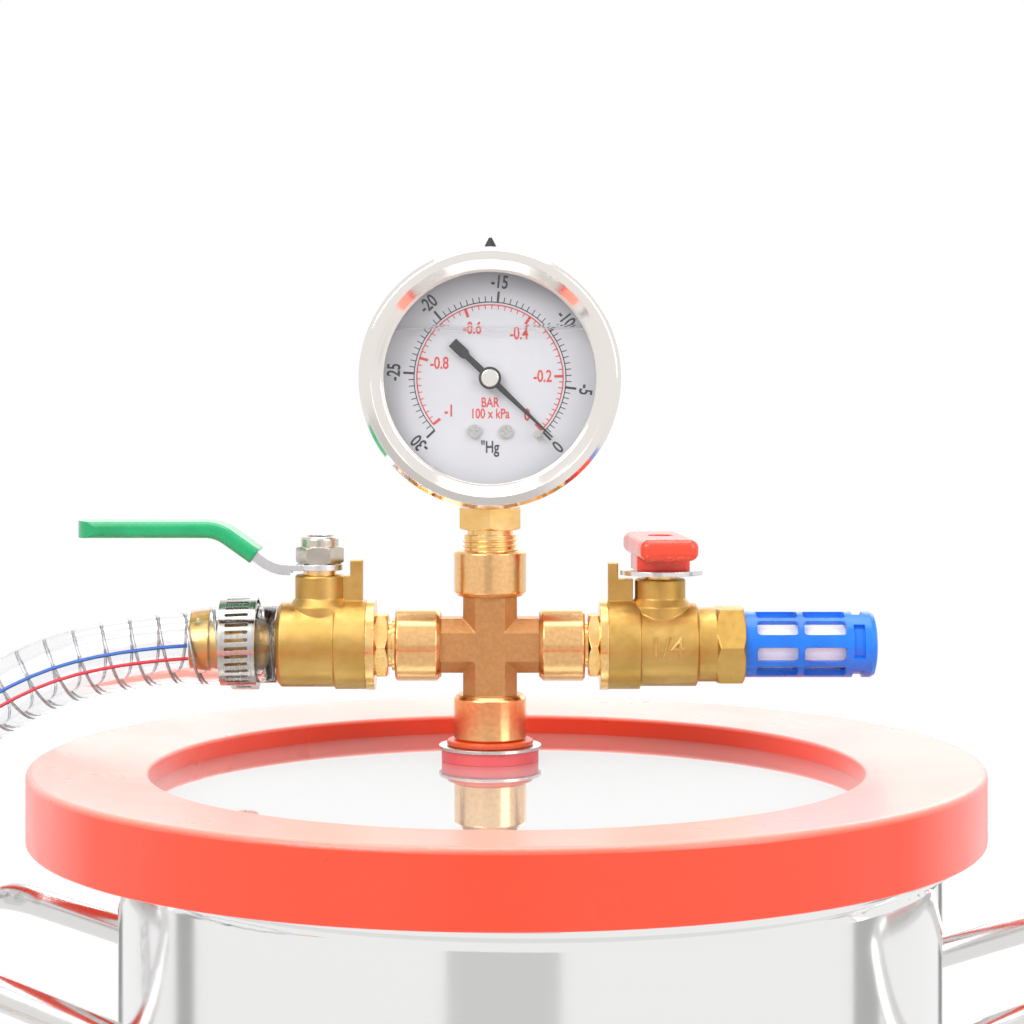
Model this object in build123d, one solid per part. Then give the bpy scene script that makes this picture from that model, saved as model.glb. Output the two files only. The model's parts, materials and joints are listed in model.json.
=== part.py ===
"""Vacuum chamber: a steel pot with a glass lid, a valve manifold, a gauge and a hose.

Millimetres, +Z up. The origin is the middle of the pot's underside, -Y is the front,
and +X is the side of the vent valve.
"""

import os
from math import asin, cos, degrees, pi, radians, sin, sqrt, tan

from build123d import *

# Clearances
FIT = 0.05  # radial, between a shaft or thread and its hole
LOOSE = 0.15  # radial, between a washer or plate and what passes through it
APART = 0.3  # between pieces that move past each other

# Pot
POT_R = 101.3
POT_WALL = 1.0
POT_HEIGHT = 190.0
POT_CORNER = 12.0
RIM_REACH = 5.7  # how far the rim stands out from the wall
RIM_BEAD = 4.3

# Pot handles
HANDLE_D = 8.0
HANDLE_REACH = 147.0  # from the pot's axis to the middle of the grip bar
HANDLE_HALF = 38.5
HANDLE_HALF_AT_WALL = 44.0
HANDLE_FOOT_DROP = 44.4  # from the rim down to the feet
HANDLE_BAR_DROP = 25.0
HANDLE_BEND = 15.0
HANDLE_TURN = -4.2  # degrees about the pot's axis
WELD_WIDTH = 1.4

# Lid: glass held in the groove of a soft ring
LID_X = -5.7  # the lid lies a little off the pot's axis
SEAL_OVERHANG = 10.6  # past the pot's rim
SEAL_TOP_WIDTH = 29.3
SEAL_FOOT_WIDTH = 25.6
SEAL_WALL = 9.6  # outside the glass
SEAL_UNDER = 2.5
SEAL_OVER = 6.8
SEAL_DISH = 1.8  # the top slopes down to the mouth
SEAL_EDGE = 1.5
SEAL_FOOT_EDGE = 0.5
SEAL_MOUTH_EDGE = 1.0
GLASS_THICK = 8.0
GLASS_CHAMFER = 0.8

# Port through the glass
PORT_X = -10.2
PORT_Y = 40.0
THREAD_R = 6.85
PORT_BORE_R = 3.5
PORT_HOLE_R = 7.2
GASKET_R = 12.85
GASKET_THICK = 3.2
WASHER_R = 13.55
WASHER_THICK = 0.8
O_RING_R = 11.45
O_RING_THICK = 1.5
PORT_NUT_AF = 19.0
PORT_NUT_THICK = 6.0

# Cross
ARM_LENGTH = 25.0
ARM_WIDTH = 14.2
ARM_CHAMFER = 3.3
COLLAR_R = 9.55
COLLAR_LENGTH = 12.0
COLLAR_CHAMFER = 1.1
THREAD_DEPTH = 10.5
CROSS_BORE_R = 4.5

# Ball valves, along the pipe from the port's axis
BALL_R = 6.2
BALL_BORE_R = 3.0
SEAT_WIDTH = 2.6
CAVITY_R = 8.2
STEM_R = 3.0
STEM_FLANGE_R = 3.9
TANG_WIDTH = 2.4
GLAND_R = 4.35
PACKING_TOP = 13.5
PACKING_THICK = 3.5
NIPPLE_AF = 16.0
RING_R = 11.9
BODY_R = 11.75
BODY_CHAMFER = 1.0

PUMP_HEX_AT = 26.9
PUMP_RING_AT = 30.4
PUMP_BODY_AT = 32.6
PUMP_STEP_AT = 40.8
PUMP_BODY_END = 56.1
PUMP_STEM_AT = 45.2
PUMP_STEP_R = 11.15
PUMP_NECK_R = 6.5
PUMP_NECK_TOP = 18.5
PUMP_LUG_FROM = 33.8
PUMP_LUG_LENGTH = 5.1
PUMP_POST_LENGTH = 3.2
PUMP_POST_TOP = 22.3
LUG_WIDTH = 4.0

VENT_HEX_AT = 25.9
VENT_RING_AT = 29.0
VENT_BODY_AT = 31.1
VENT_STEP_AT = 39.5
VENT_WAIST_AT = 55.05
VENT_END_HEX_AT = 59.6
VENT_BODY_END = 67.15
VENT_STEM_AT = 45.1
VENT_STEP_R = 10.95
VENT_WAIST_R = 9.8
VENT_END_AF = 19.4
VENT_NECK_R = 6.7
VENT_NECK_TOP = 17.5
VENT_LUG_FROM = 31.3
VENT_LUG_LENGTH = 6.5
VENT_POST_LENGTH = 2.6
VENT_POST_TOP = 21.6

# Pump valve lever
LEVER_THICK = 1.6
LEVER_WIDTH = 9.6
LEVER_HUB_R = 6.1
LEVER_EAR_R = 10.0
LEVER_EAR_SPAN = 40.0  # degrees
LEVER_LENGTH = 64.0
LEVER_BEND_FROM = 11.5
LEVER_BEND_TO = 26.5
LEVER_RISE = 10.6
LEVER_BEND_R = 11.0
LEVER_FLANGE = 1.1  # how far the tongue's edges are turned down
LEVER_FLANGE_FROM = 7.5
GRIP_FROM = 16.5
GRIP_THICK = 4.4
GRIP_WIDTH = 12.6
GRIP_OVER = 1.5  # past the lever's end
GRIP_EDGE = 1.6
NUT_AF = 11.0
NUT_HEX = 4.6
NUT_HEIGHT = 7.3
NUT_COLLAR_R = 5.0
NUT_CROWN_EDGE = 1.0
INSERT_WIDTH = 1.1
INSERT_DEEP = 1.0
INSERT_DOWN = 0.4
INSERT_LIP = 0.3  # the crown rolled over the insert

# Vent valve handle
DISC_R = 11.35
DISC_THICK = 1.2
WING_BLOCK = 14.0
WING_WIDTH = 15.2
WING_REACH = 18.5
WING_HEIGHT = 9.0
WING_THICK = 5.7
WING_EDGE = 2.3
WING_TURN = 5.0
SCREW_HEAD_R = 3.3
SCREW_R = 1.5
QUARTER_TURN = 90.0

# Silencer
SILENCER_R = 8.65
SILENCER_END = 102.0
SILENCER_WALL = 1.7
SILENCER_TURN = 78.5  # degrees, sets the broad bar that faces the front
WINDOW_WIDTH = 4.1
WINDOW_EDGE = 0.9
WINDOW_TURNS = (25.0, 62.0, 118.0, 155.0)  # on each half, from a broad bar
WINDOW_COLUMNS = ((70.2, 81.0), (82.6, 93.6))
END_SLOT = (95.6, 98.5)
END_SLOT_SPAN = 62.0
END_SLOT_DEEP = 1.1
END_SLOTS = 4
CORE_R = 6.2

# Gauge
GAUGE_RISE = 45.7  # from the cross's top to the dial's middle
BEZEL_R = 34.2
BEZEL_STEP_R = 31.0
DIAL_VIEW_R = 27.75
BEZEL_FRONT = 13.0
BEZEL_SHEET = 0.8
BEZEL_BACK = 5.7
BEZEL_SINK = 2.4  # from the bezel's front to its inner lip
BEZEL_LIP = 0.7
CASE_R = 32.6
CASE_WALL = 0.8
CASE_BACK = -17.0
CASE_FRONT = 7.7
CASE_FLANGE = 1.6
CASE_CORNER = 2.5
DIAL_AT = 3.0
DIAL_THICK = 0.6
DIAL_GAP = 1.5  # inside the case
SOCKET_HEX_AF = 16.0
SOCKET_HEX_TOP = 34.35
SOCKET_HEX_BOTTOM = 40.1
SOCKET_HEX_CUT = 2.0  # faced off square at the top
NECK_R = 5.5
BLOCK_WIDTH = 16.0
BLOCK_DEPTH = 10.0
BLOCK_TOP = -8.0
NEEDLE_REST = -43.5  # degrees from +X as seen from the front, anticlockwise
NEEDLE_TIP = 22.7
NEEDLE_TAIL = 13.6
NEEDLE_WIDTH = 2.8
NEEDLE_AT = 5.2
NEEDLE_THICK = 0.4
HUB_R = 2.95
ARBOR_R = 0.9
DIAL_SCREW_SPREAD = 4.15
DIAL_SCREW_DROP = 14.0
PLUG_TOP = 37.7
PLUG_BACK = 8.0  # behind the port's axis
PLUG_R = 3.5
PLUG_NIPPLE_R = 1.7
PLATE_BACK = -7.0
PLATE_THICK = 1.0
PLATE_WIDTH = 20.0
PLATE_HEIGHT = 17.0
WORKS_DEPTH = 6.0
PINION_R = 2.2
PINION_TOOTH = 0.7
PINION_LENGTH = 3.0
PINION_TEETH = 12
TUBE_R = 22.5
TUBE_WIDTH = 9.0
TUBE_THICK = 2.6
TUBE_TURN = 245.0  # degrees
TUBE_START = -78.0

# Hose
HOSE_R = 9.25
HOSE_BORE_R = 6.35
CUFF_R = 10.15
CUFF_BORE_R = 7.0
CUFF_LENGTH = 19.0
BARB_LENGTH = 22.5
BARB_R = 6.95
BARB_ROOT_R = 6.3
BARBS = 4
HOSE_GAP = 0.5  # from the valve's end to the hose's end
ROUTE = [  # x and z of the hose's bends, in the plane of the port
    (-66.8, 231.0),
    (-110.0, 231.0),
    (-150.0, 213.0),
    (-180.0, 180.5),
    (-198.0, 128.0),
    (-210.5, 84.0),
    (-240.5, 49.0),
    (-282.0, 29.65),
    (-328.0, 29.65),
]
ARC_SHARE = 0.45
COIL_R = 100.0
COIL_CORNER = 6.0
COIL_LIFT = 1.6
LAYER = 18.8
TOP_TURN = 200.0
TAIL_LENGTH = 82.0
TIE_WIDTH = 16.0
TIE_THICK = 1.3
TIE_GAP = 0.5  # beside the turns, whose curve the flat strap spans
FERRULE_R = 10.5
FERRULE_LENGTH = 16.0
PUMP_HEX_AF = 17.0
PUMP_HEX_LENGTH = 14.0
PUMP_PORT_R = 5.0
PUMP_PORT_DEPTH = 10.0

# Hose clamp
BAND_WIDTH = 9.6
BAND_THICK = 0.7
BAND_FROM = 61.6
BAND_SLOTS = 32
SLOT_LENGTH = 6.2
SLOT_WIDTH = 0.95
SLOT_LEAN = 3.0  # degrees
HOUSING_TURN = 100.0  # degrees from the top towards the back
HOUSING_HALF_ANGLE = 34.0
TAIL_TURN = -52.0  # where the strip's loose end stops, past the top
TAIL_RISE = 0.9  # how far it springs off the strip under it
TAIL_STEP = 30.0
WORM_R = 3.0
HOUSING_WALL = 0.8
HOUSING_LENGTH = 12.0

# Places worked out from the sizes above
RIM_R = POT_R + RIM_REACH
HANDLE_FOOT_Z = POT_HEIGHT - HANDLE_FOOT_DROP
HANDLE_BAR_Z = POT_HEIGHT - HANDLE_BAR_DROP
SEAL_R = RIM_R + SEAL_OVERHANG
SEAL_MOUTH_R = SEAL_R - SEAL_TOP_WIDTH
SEAL_SEAT_R = SEAL_R - SEAL_FOOT_WIDTH
GLASS_R = SEAL_R - SEAL_WALL
GLASS_Z = POT_HEIGHT + SEAL_UNDER
GLASS_TOP = GLASS_Z + GLASS_THICK
WASHER_Z = GLASS_TOP + GASKET_THICK
O_RING_Z = WASHER_Z + WASHER_THICK
CROSS_Z = O_RING_Z + O_RING_THICK + ARM_LENGTH
COLLAR_TOP = CROSS_Z + ARM_LENGTH
PUMP_GLAND_TOP = PUMP_NECK_TOP + 1.3
LEVER_Z = PUMP_GLAND_TOP + FIT
PUMP_STEM_TOP = LEVER_Z + LEVER_THICK + NUT_HEIGHT - 1.2
VENT_GLAND_TOP = VENT_NECK_TOP + 1.2
DISC_Z = VENT_GLAND_TOP + FIT
WING_Z = DISC_Z + DISC_THICK
VENT_STEM_TOP = WING_Z + 5.4
GAUGE_Z = COLLAR_TOP + GAUGE_RISE
DIAL_R = CASE_R - CASE_WALL - DIAL_GAP
PLUG_Y = PORT_Y + PLUG_BACK
ARBOR_TOP = NEEDLE_AT + NEEDLE_THICK + 0.7
BAND_R = CUFF_R + FIT
SEAT_REACH = BALL_R + 0.4  # from the ball's middle to the back of a seat
COIL_Z = COIL_LIFT + HOSE_R
COIL_X = ROUTE[-1][0]
COIL_Y = PORT_Y - COIL_R
DIAL_FACE = Plane(origin=(PORT_X, PORT_Y, GAUGE_Z), x_dir=(1, 0, 0), z_dir=(0, -1, 0))
VENT_SIDE = Pos(PORT_X, PORT_Y, CROSS_Z)
PUMP_SIDE = VENT_SIDE * Rot(0, 0, 180)


# ---------------------------------------------------------------- shared shapes


def turned(outline):
    """The solid that an outline of (radius, height) points makes round Z."""
    face = make_face(Plane.XZ * Polyline(*outline, close=True))
    return revolve(face, Axis.Z)


def turned_x(outline):
    """The same round X: each point is (distance along X, radius)."""
    face = make_face(Plane.XZ * Polyline(*outline, close=True))
    return revolve(face, Axis.X)


def disc(radius, low, high, bore=0.0):
    """A round plate or tube on Z from low to high."""
    solid = Pos(0, 0, low) * extrude(Circle(radius), high - low)
    if bore:
        solid -= Pos(0, 0, low) * extrude(Circle(bore), high - low)
    return solid


def rod_x(radius, low, high, bore=0.0):
    """A round bar or tube on X from low to high."""
    return Rot(0, 90, 0) * disc(radius, low, high, bore)


def hexagon(across_flats, low, high, bore=0.0):
    """A hexagon bar on Z with its corners rounded off as a lathe leaves them."""
    blank = Pos(0, 0, low) * extrude(
        RegularPolygon(across_flats / 2, 6, major_radius=False), high - low
    )
    corner = across_flats / sqrt(3)
    ease = corner - across_flats / 2
    drop = ease * tan(radians(30))
    blank &= turned(
        [
            (0, low),
            (corner - ease, low),
            (corner, low + drop),
            (corner, high - drop),
            (corner - ease, high),
            (0, high),
        ]
    )
    if bore:
        blank -= disc(bore, low, high)
    return blank


def sector_of(radius, start, end, low, high):
    """A pie slice on Z, from angle start to angle end in degrees."""
    steps = 12
    arc = [start + (end - start) * i / steps for i in range(steps + 1)]
    rim = [(radius * cos(radians(a)), radius * sin(radians(a))) for a in arc]
    face = make_face(Polyline((0, 0), *rim, close=True))
    return Pos(0, 0, low) * extrude(face, high - low)


def circles(solid):
    """The solid's round edges."""
    return solid.edges().filter_by(GeomType.CIRCLE)


def circles_at(solid, radius, height):
    """The round edges of one radius at one height."""
    return [
        e
        for e in circles(solid)
        if abs(e.radius - radius) < FIT and abs(e.center().Z - height) < FIT
    ]


def at_port(solid):
    return Pos(PORT_X, PORT_Y, 0) * solid


def save(name, *solids):
    shape = solids[0] if len(solids) == 1 else Compound(children=list(solids))
    export_step(shape, f"parts/{name}.step")


# ---------------------------------------------------------------- pot


def pot():
    """Deep drawn, with the wall flared into a rolled rim."""
    inner = POT_R - POT_WALL
    bead = RIM_BEAD / 2
    flare = RIM_REACH - bead
    neck = POT_HEIGHT - RIM_BEAD - flare
    with BuildPart() as made:
        with BuildSketch(Plane.XZ):
            with BuildLine():
                Line((0, 0), (POT_R - POT_CORNER, 0))
                RadiusArc((POT_R - POT_CORNER, 0), (POT_R, POT_CORNER), -POT_CORNER)
                Line((POT_R, POT_CORNER), (POT_R, neck))
                RadiusArc((POT_R, neck), (RIM_R - bead, neck + flare), flare)
                ThreePointArc(
                    (RIM_R - bead, POT_HEIGHT - RIM_BEAD),
                    (RIM_R, POT_HEIGHT - bead),
                    (RIM_R - bead, POT_HEIGHT),
                )
                Line((RIM_R - bead, POT_HEIGHT), (inner + bead, POT_HEIGHT))
                RadiusArc((inner + bead, POT_HEIGHT), (inner, POT_HEIGHT - bead), -bead)
                Line((inner, POT_HEIGHT - bead), (inner, POT_CORNER))
                RadiusArc(
                    (inner, POT_CORNER),
                    (POT_R - POT_CORNER, POT_WALL),
                    POT_CORNER - POT_WALL,
                )
                Line((POT_R - POT_CORNER, POT_WALL), (0, POT_WALL))
                Line((0, POT_WALL), (0, 0))
            make_face()
        revolve(axis=Axis.Z)
    return made.part


def handle(side):
    """A bent bar with both feet welded to the pot's wall. side is 1 or -1."""
    wall_x = sqrt(POT_R**2 - HANDLE_HALF_AT_WALL**2)
    rise = (HANDLE_BAR_Z - HANDLE_FOOT_Z) / (HANDLE_REACH - wall_x)
    close_in = (HANDLE_HALF_AT_WALL - HANDLE_HALF) / (HANDLE_REACH - wall_x)
    inside = 2 * HANDLE_D
    foot_x = wall_x - inside
    foot_y = HANDLE_HALF_AT_WALL + close_in * inside
    foot_z = HANDLE_FOOT_Z - rise * inside
    path = FilletPolyline(
        (foot_x, foot_y, foot_z),
        (HANDLE_REACH, HANDLE_HALF, HANDLE_BAR_Z),
        (HANDLE_REACH, -HANDLE_HALF, HANDLE_BAR_Z),
        (foot_x, -foot_y, foot_z),
        radius=HANDLE_BEND,
    )
    start = path ^ 0
    bar = sweep(Plane(origin=start.position, z_dir=path % 0) * Circle(HANDLE_D / 2), path)
    leg = Vector(1, -close_in, rise)
    for way in (1, -1):
        root = Plane(
            origin=(wall_x, way * HANDLE_HALF_AT_WALL, HANDLE_FOOT_Z),
            z_dir=(leg.X, way * leg.Y, leg.Z),
        )
        foot = HANDLE_D / 2 + WELD_WIDTH
        bar += root * (Pos(0, 0, -HANDLE_D / 2) * Cone(foot, HANDLE_D / 2, HANDLE_D + 4))
    bar -= disc(POT_R + FIT, 0, POT_HEIGHT)
    return Rot(0, 0, HANDLE_TURN + (0 if side > 0 else 180)) * bar


# ---------------------------------------------------------------- lid


def seal_ring():
    """Soft ring with a groove for the glass. Its foot lies on the pot's rim."""
    low = POT_HEIGHT
    high = GLASS_TOP + SEAL_OVER
    groove = GLASS_R + FIT
    ring = turned(
        [
            (SEAL_SEAT_R, low),
            (SEAL_R, low),
            (SEAL_R, high),
            (SEAL_MOUTH_R, high - SEAL_DISH),
            (SEAL_MOUTH_R, GLASS_TOP),
            (groove, GLASS_TOP),
            (groove, GLASS_Z),
            (SEAL_SEAT_R, GLASS_Z),
        ]
    )
    ring = fillet(circles_at(ring, SEAL_R, high), SEAL_EDGE)
    ring = fillet(circles_at(ring, SEAL_R, low), SEAL_FOOT_EDGE)
    ring = fillet(circles_at(ring, SEAL_MOUTH_R, high - SEAL_DISH), SEAL_MOUTH_EDGE)
    return Pos(LID_X, 0, 0) * ring


def lid_glass():
    """Thick disc with ground edges and one drilled port behind its middle."""
    sheet = turned(
        [
            (0, GLASS_Z),
            (GLASS_R - GLASS_CHAMFER, GLASS_Z),
            (GLASS_R, GLASS_Z + GLASS_CHAMFER),
            (GLASS_R, GLASS_TOP - GLASS_CHAMFER),
            (GLASS_R - GLASS_CHAMFER, GLASS_TOP),
            (0, GLASS_TOP),
        ]
    )
    return Pos(LID_X, 0, 0) * sheet - at_port(disc(PORT_HOLE_R, GLASS_Z, GLASS_TOP))


# ---------------------------------------------------------------- port fittings


def port_fittings():
    """What clamps the manifold to the glass, by node name."""
    bore = THREAD_R + LOOSE
    under = GLASS_Z - GASKET_THICK
    nut_top = under - WASHER_THICK
    nut_low = nut_top - PORT_NUT_THICK
    socket_end = CROSS_Z - ARM_LENGTH + THREAD_DEPTH
    o_ring = disc(O_RING_R, O_RING_Z, O_RING_Z + O_RING_THICK, bore)
    o_ring = fillet([e for e in circles(o_ring) if e.radius > bore + FIT], 0.6)
    return {
        "port_gasket_top": disc(GASKET_R, GLASS_TOP, WASHER_Z, bore),
        "port_washer_top": disc(WASHER_R, WASHER_Z, O_RING_Z, bore),
        "port_o_ring": o_ring,
        "port_gasket_bottom": disc(GASKET_R, under, GLASS_Z, bore),
        "port_washer_bottom": disc(WASHER_R, nut_top, under, bore),
        "port_nut": hexagon(PORT_NUT_AF, nut_low, nut_top, THREAD_R + FIT),
        "port_nipple": disc(THREAD_R, nut_low - 2.0, socket_end, PORT_BORE_R),
    }


def cross():
    """Four-way fitting: faceted arms between round collars, a socket in each."""
    flat = Rectangle(ARM_WIDTH, ARM_WIDTH)
    flat = chamfer(flat.vertices(), ARM_CHAMFER)
    reach = ARM_LENGTH - COLLAR_LENGTH / 2
    bar = Pos(0, 0, -reach) * extrude(flat, 2 * reach)
    body = bar + Rot(0, 90, 0) * bar
    inner = ARM_LENGTH - COLLAR_LENGTH
    ends = []
    for turn in (0, 90, 180, 270):
        collar = turned_x(
            [
                (inner, 0),
                (inner, COLLAR_R - COLLAR_CHAMFER),
                (inner + COLLAR_CHAMFER, COLLAR_R),
                (ARM_LENGTH - COLLAR_CHAMFER / 2, COLLAR_R),
                (ARM_LENGTH, COLLAR_R - COLLAR_CHAMFER / 2),
                (ARM_LENGTH, 0),
            ]
        )
        body += Rot(0, turn, 0) * collar
        socket = rod_x(THREAD_R + FIT, ARM_LENGTH - THREAD_DEPTH, ARM_LENGTH)
        ends.append(Rot(0, turn, 0) * (socket + rod_x(CROSS_BORE_R, 0, ARM_LENGTH)))
    for end in ends:
        body -= end
    return VENT_SIDE * body


# ---------------------------------------------------------------- ball valves
# Each valve is made with its pipe along +X and its stem up, then put on its side.


def valve_end(hex_at, ring_at, body_at, stem_at):
    """The piece that screws into the cross and closes the valve's body."""
    nose_end = stem_at - SEAT_REACH
    piece = rod_x(THREAD_R, ARM_LENGTH - THREAD_DEPTH, hex_at - 1.0)
    piece += rod_x(THREAD_R - 0.9, hex_at - 1.0, hex_at)
    piece += Rot(0, 90, 0) * Rot(0, 0, 30) * hexagon(NIPPLE_AF, hex_at, ring_at)
    piece += rod_x(RING_R, ring_at, body_at)
    piece += rod_x(CAVITY_R - FIT, body_at, nose_end)
    return piece - rod_x(PORT_BORE_R, ARM_LENGTH - THREAD_DEPTH, nose_end)


def valve_cavity(body_at, stem_at, neck_top):
    """What is cut from a valve's body for its ball, seats and stem."""
    room = rod_x(CAVITY_R, body_at, stem_at + SEAT_REACH)
    stem_hole = disc(STEM_R + FIT, 0, neck_top)
    gland_hole = disc(GLAND_R + FIT, PACKING_TOP - PACKING_THICK, neck_top)
    return room + Pos(stem_at, 0, 0) * (stem_hole + gland_hole)


def lug(start, length, post_length, post_top, block_top):
    """The cast stop beside the neck: a block with a taller post."""
    half = LUG_WIDTH / 2
    block = Pos(start + length / 2, 0, block_top / 2) * Box(length, 2 * half, block_top)
    post = Pos(start + post_length / 2, 0, post_top / 2) * Box(post_length, 2 * half, post_top)
    return block + post


def neck(stem_at, radius, top):
    """The round tower over the stem, flared where it meets the body."""
    flare = 1.6
    outline = [
        (0, BALL_R),
        (radius + flare, BALL_R),
        (radius + flare, BODY_R - 1.4),
        (radius, BODY_R + 0.6),
        (radius, top - 0.4),
        (radius - 0.4, top),
        (0, top),
    ]
    return Pos(stem_at, 0, 0) * turned(outline)


def pump_valve_body():
    """Cast body with the hose barb turned on its outer end."""
    hose_end = PUMP_BODY_END + HOSE_GAP
    barb_end = hose_end + BARB_LENGTH
    pitch = BARB_LENGTH / BARBS
    outline = [(PUMP_BODY_AT, 0), (PUMP_BODY_AT, BODY_R), (PUMP_STEP_AT, BODY_R)]
    outline += [(PUMP_STEP_AT + 0.3, PUMP_STEP_R), (PUMP_BODY_END - BODY_CHAMFER, PUMP_STEP_R)]
    outline += [(PUMP_BODY_END, PUMP_STEP_R - BODY_CHAMFER), (PUMP_BODY_END, BARB_ROOT_R)]
    for i in range(BARBS):
        start = hose_end + i * pitch
        outline += [(start + 0.4, BARB_ROOT_R), (start + 0.5, BARB_R)]
        outline += [(start + pitch - 0.1, BARB_ROOT_R)]
    outline += [(barb_end, BARB_ROOT_R), (barb_end, 0)]
    body = turned_x(outline)
    body += neck(PUMP_STEM_AT, PUMP_NECK_R, PUMP_NECK_TOP)
    body += lug(
        PUMP_LUG_FROM, PUMP_LUG_LENGTH, PUMP_POST_LENGTH, PUMP_POST_TOP, PUMP_NECK_TOP - 0.2
    )
    body -= valve_cavity(PUMP_BODY_AT, PUMP_STEM_AT, PUMP_NECK_TOP)
    body -= rod_x(PORT_BORE_R, PUMP_STEM_AT, PUMP_BODY_END)
    body -= rod_x(BARB_ROOT_R - 1.6, PUMP_BODY_END, barb_end)
    return body


def vent_valve_body():
    """Cast body with a hexagon end that takes the silencer's thread."""
    outline = [(VENT_BODY_AT, 0), (VENT_BODY_AT, BODY_R), (VENT_STEP_AT, BODY_R)]
    outline += [(VENT_STEP_AT + 0.3, VENT_STEP_R), (VENT_WAIST_AT - 0.6, VENT_STEP_R)]
    outline += [(VENT_WAIST_AT, VENT_WAIST_R), (VENT_END_HEX_AT, VENT_WAIST_R)]
    outline += [(VENT_END_HEX_AT, 0)]
    body = turned_x(outline)
    body += Rot(0, 90, 0) * Rot(0, 0, 30) * hexagon(VENT_END_AF, VENT_END_HEX_AT, VENT_BODY_END)
    body += neck(VENT_STEM_AT, VENT_NECK_R, VENT_NECK_TOP)
    body += lug(VENT_LUG_FROM, VENT_LUG_LENGTH, VENT_POST_LENGTH, VENT_POST_TOP, VENT_NECK_TOP)
    body -= valve_cavity(VENT_BODY_AT, VENT_STEM_AT, VENT_NECK_TOP)
    body -= rod_x(PORT_BORE_R, VENT_STEM_AT, VENT_BODY_END)
    return body - rod_x(THREAD_R + FIT, VENT_BODY_END - THREAD_DEPTH, VENT_BODY_END)


def seats(stem_at):
    """The two soft rings that the ball turns against."""
    near = SEAT_REACH - SEAT_WIDTH
    touch = BALL_R + FIT
    corner = Vector(near, sqrt(touch**2 - near**2))
    mouth = Vector(sqrt(touch**2 - PORT_BORE_R**2), PORT_BORE_R)
    middle = (corner + mouth).normalized() * touch
    rim = Polyline(
        mouth, (SEAT_REACH, PORT_BORE_R), (SEAT_REACH, CAVITY_R - FIT), (near, CAVITY_R - FIT), corner
    )
    ring = revolve(make_face(Plane.XZ * (rim + ThreePointArc(corner, middle, mouth))), Axis.X)
    place = Pos(stem_at, 0, 0)
    return place * ring, place * Rot(0, 0, 180) * ring


def ball(stem_at, open_now):
    """Bored ball with the stem's slot across its top."""
    solid = Sphere(BALL_R) - rod_x(BALL_BORE_R, -BALL_R, BALL_R)
    slot_depth = 1.5
    solid -= Pos(0, 0, BALL_R - slot_depth / 2) * Box(TANG_WIDTH, 2 * BALL_R, slot_depth)
    return Pos(stem_at, 0, 0) * Rot(0, 0, 0 if open_now else QUARTER_TURN) * solid


def stem(stem_at, top, open_now, tapped):
    """Tang, flange and shaft in one turned piece."""
    tang_low = BALL_R - 1.5
    tang = Pos(0, 0, (tang_low + BALL_R) / 2) * Box(TANG_WIDTH, 2 * STEM_R, BALL_R - tang_low)
    piece = tang + disc(STEM_FLANGE_R, BALL_R, BALL_R + 0.8) + disc(STEM_R, BALL_R, top)
    if tapped:
        piece -= disc(SCREW_R, top - 6.0, top)
    return Pos(stem_at, 0, 0) * Rot(0, 0, 0 if open_now else QUARTER_TURN) * piece


def packing(stem_at):
    low = PACKING_TOP - PACKING_THICK
    return Pos(stem_at, 0, 0) * disc(GLAND_R, low, PACKING_TOP, STEM_R + FIT)


def gland(stem_at, top):
    return Pos(stem_at, 0, 0) * disc(GLAND_R, PACKING_TOP, top, STEM_R + FIT)


def lever_path(start, end):
    """The S-shaped side line of the lever, from start to end along it."""
    slope = LEVER_RISE / (LEVER_BEND_TO - LEVER_BEND_FROM)
    mid = LEVER_Z + LEVER_THICK / 2
    high = (end, 0, mid + LEVER_RISE)
    upper = (LEVER_BEND_TO, 0, mid + LEVER_RISE)
    lower = (LEVER_BEND_FROM, 0, mid)
    if start < LEVER_BEND_FROM:
        return FilletPolyline((start, 0, mid), lower, upper, high, radius=LEVER_BEND_R)
    on_slope = (start, 0, mid + (start - LEVER_BEND_FROM) * slope)
    return FilletPolyline(on_slope, upper, high, radius=LEVER_BEND_R)


def along(path, section):
    """Sweep a section, drawn as width by thickness, along a lever path."""
    start = Plane(origin=path @ 0, x_dir=(0, 1, 0), z_dir=path % 0)
    return sweep(start * section, path)


def lever_strip():
    """The bent strip, its edges turned down along the tongue, its end round."""
    strip = along(lever_path(0, LEVER_LENGTH), Rectangle(LEVER_WIDTH, LEVER_THICK))
    deep = LEVER_THICK / 2 + LEVER_FLANGE
    channel = Pos(0, -deep / 2) * Rectangle(LEVER_WIDTH, deep)
    channel -= Pos(0, -deep / 2) * Rectangle(LEVER_WIDTH - 2 * LEVER_FLANGE, deep)
    strip += along(lever_path(LEVER_FLANGE_FROM, LEVER_LENGTH), channel)
    plan = SlotOverall(2 * (LEVER_LENGTH - GRIP_OVER), LEVER_WIDTH)
    return strip & extrude(plan, 2 * CROSS_Z)


def pump_lever():
    """Pressed strip: hub with a stop ear, S-bend and long tongue."""
    strip = lever_strip()
    top = LEVER_Z + LEVER_THICK
    strip += disc(LEVER_HUB_R, LEVER_Z, top)
    gap = degrees(asin((LUG_WIDTH / 2 + APART) / (PUMP_STEM_AT - PUMP_LUG_FROM - PUMP_POST_LENGTH)))
    ear_start = QUARTER_TURN + 180 + gap
    ear_end = ear_start + LEVER_EAR_SPAN
    strip += sector_of(LEVER_EAR_R, ear_start, ear_end, LEVER_Z, top)
    strip -= disc(STEM_R, LEVER_Z, top)
    return Pos(PUMP_STEM_AT, 0, 0) * strip


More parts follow.
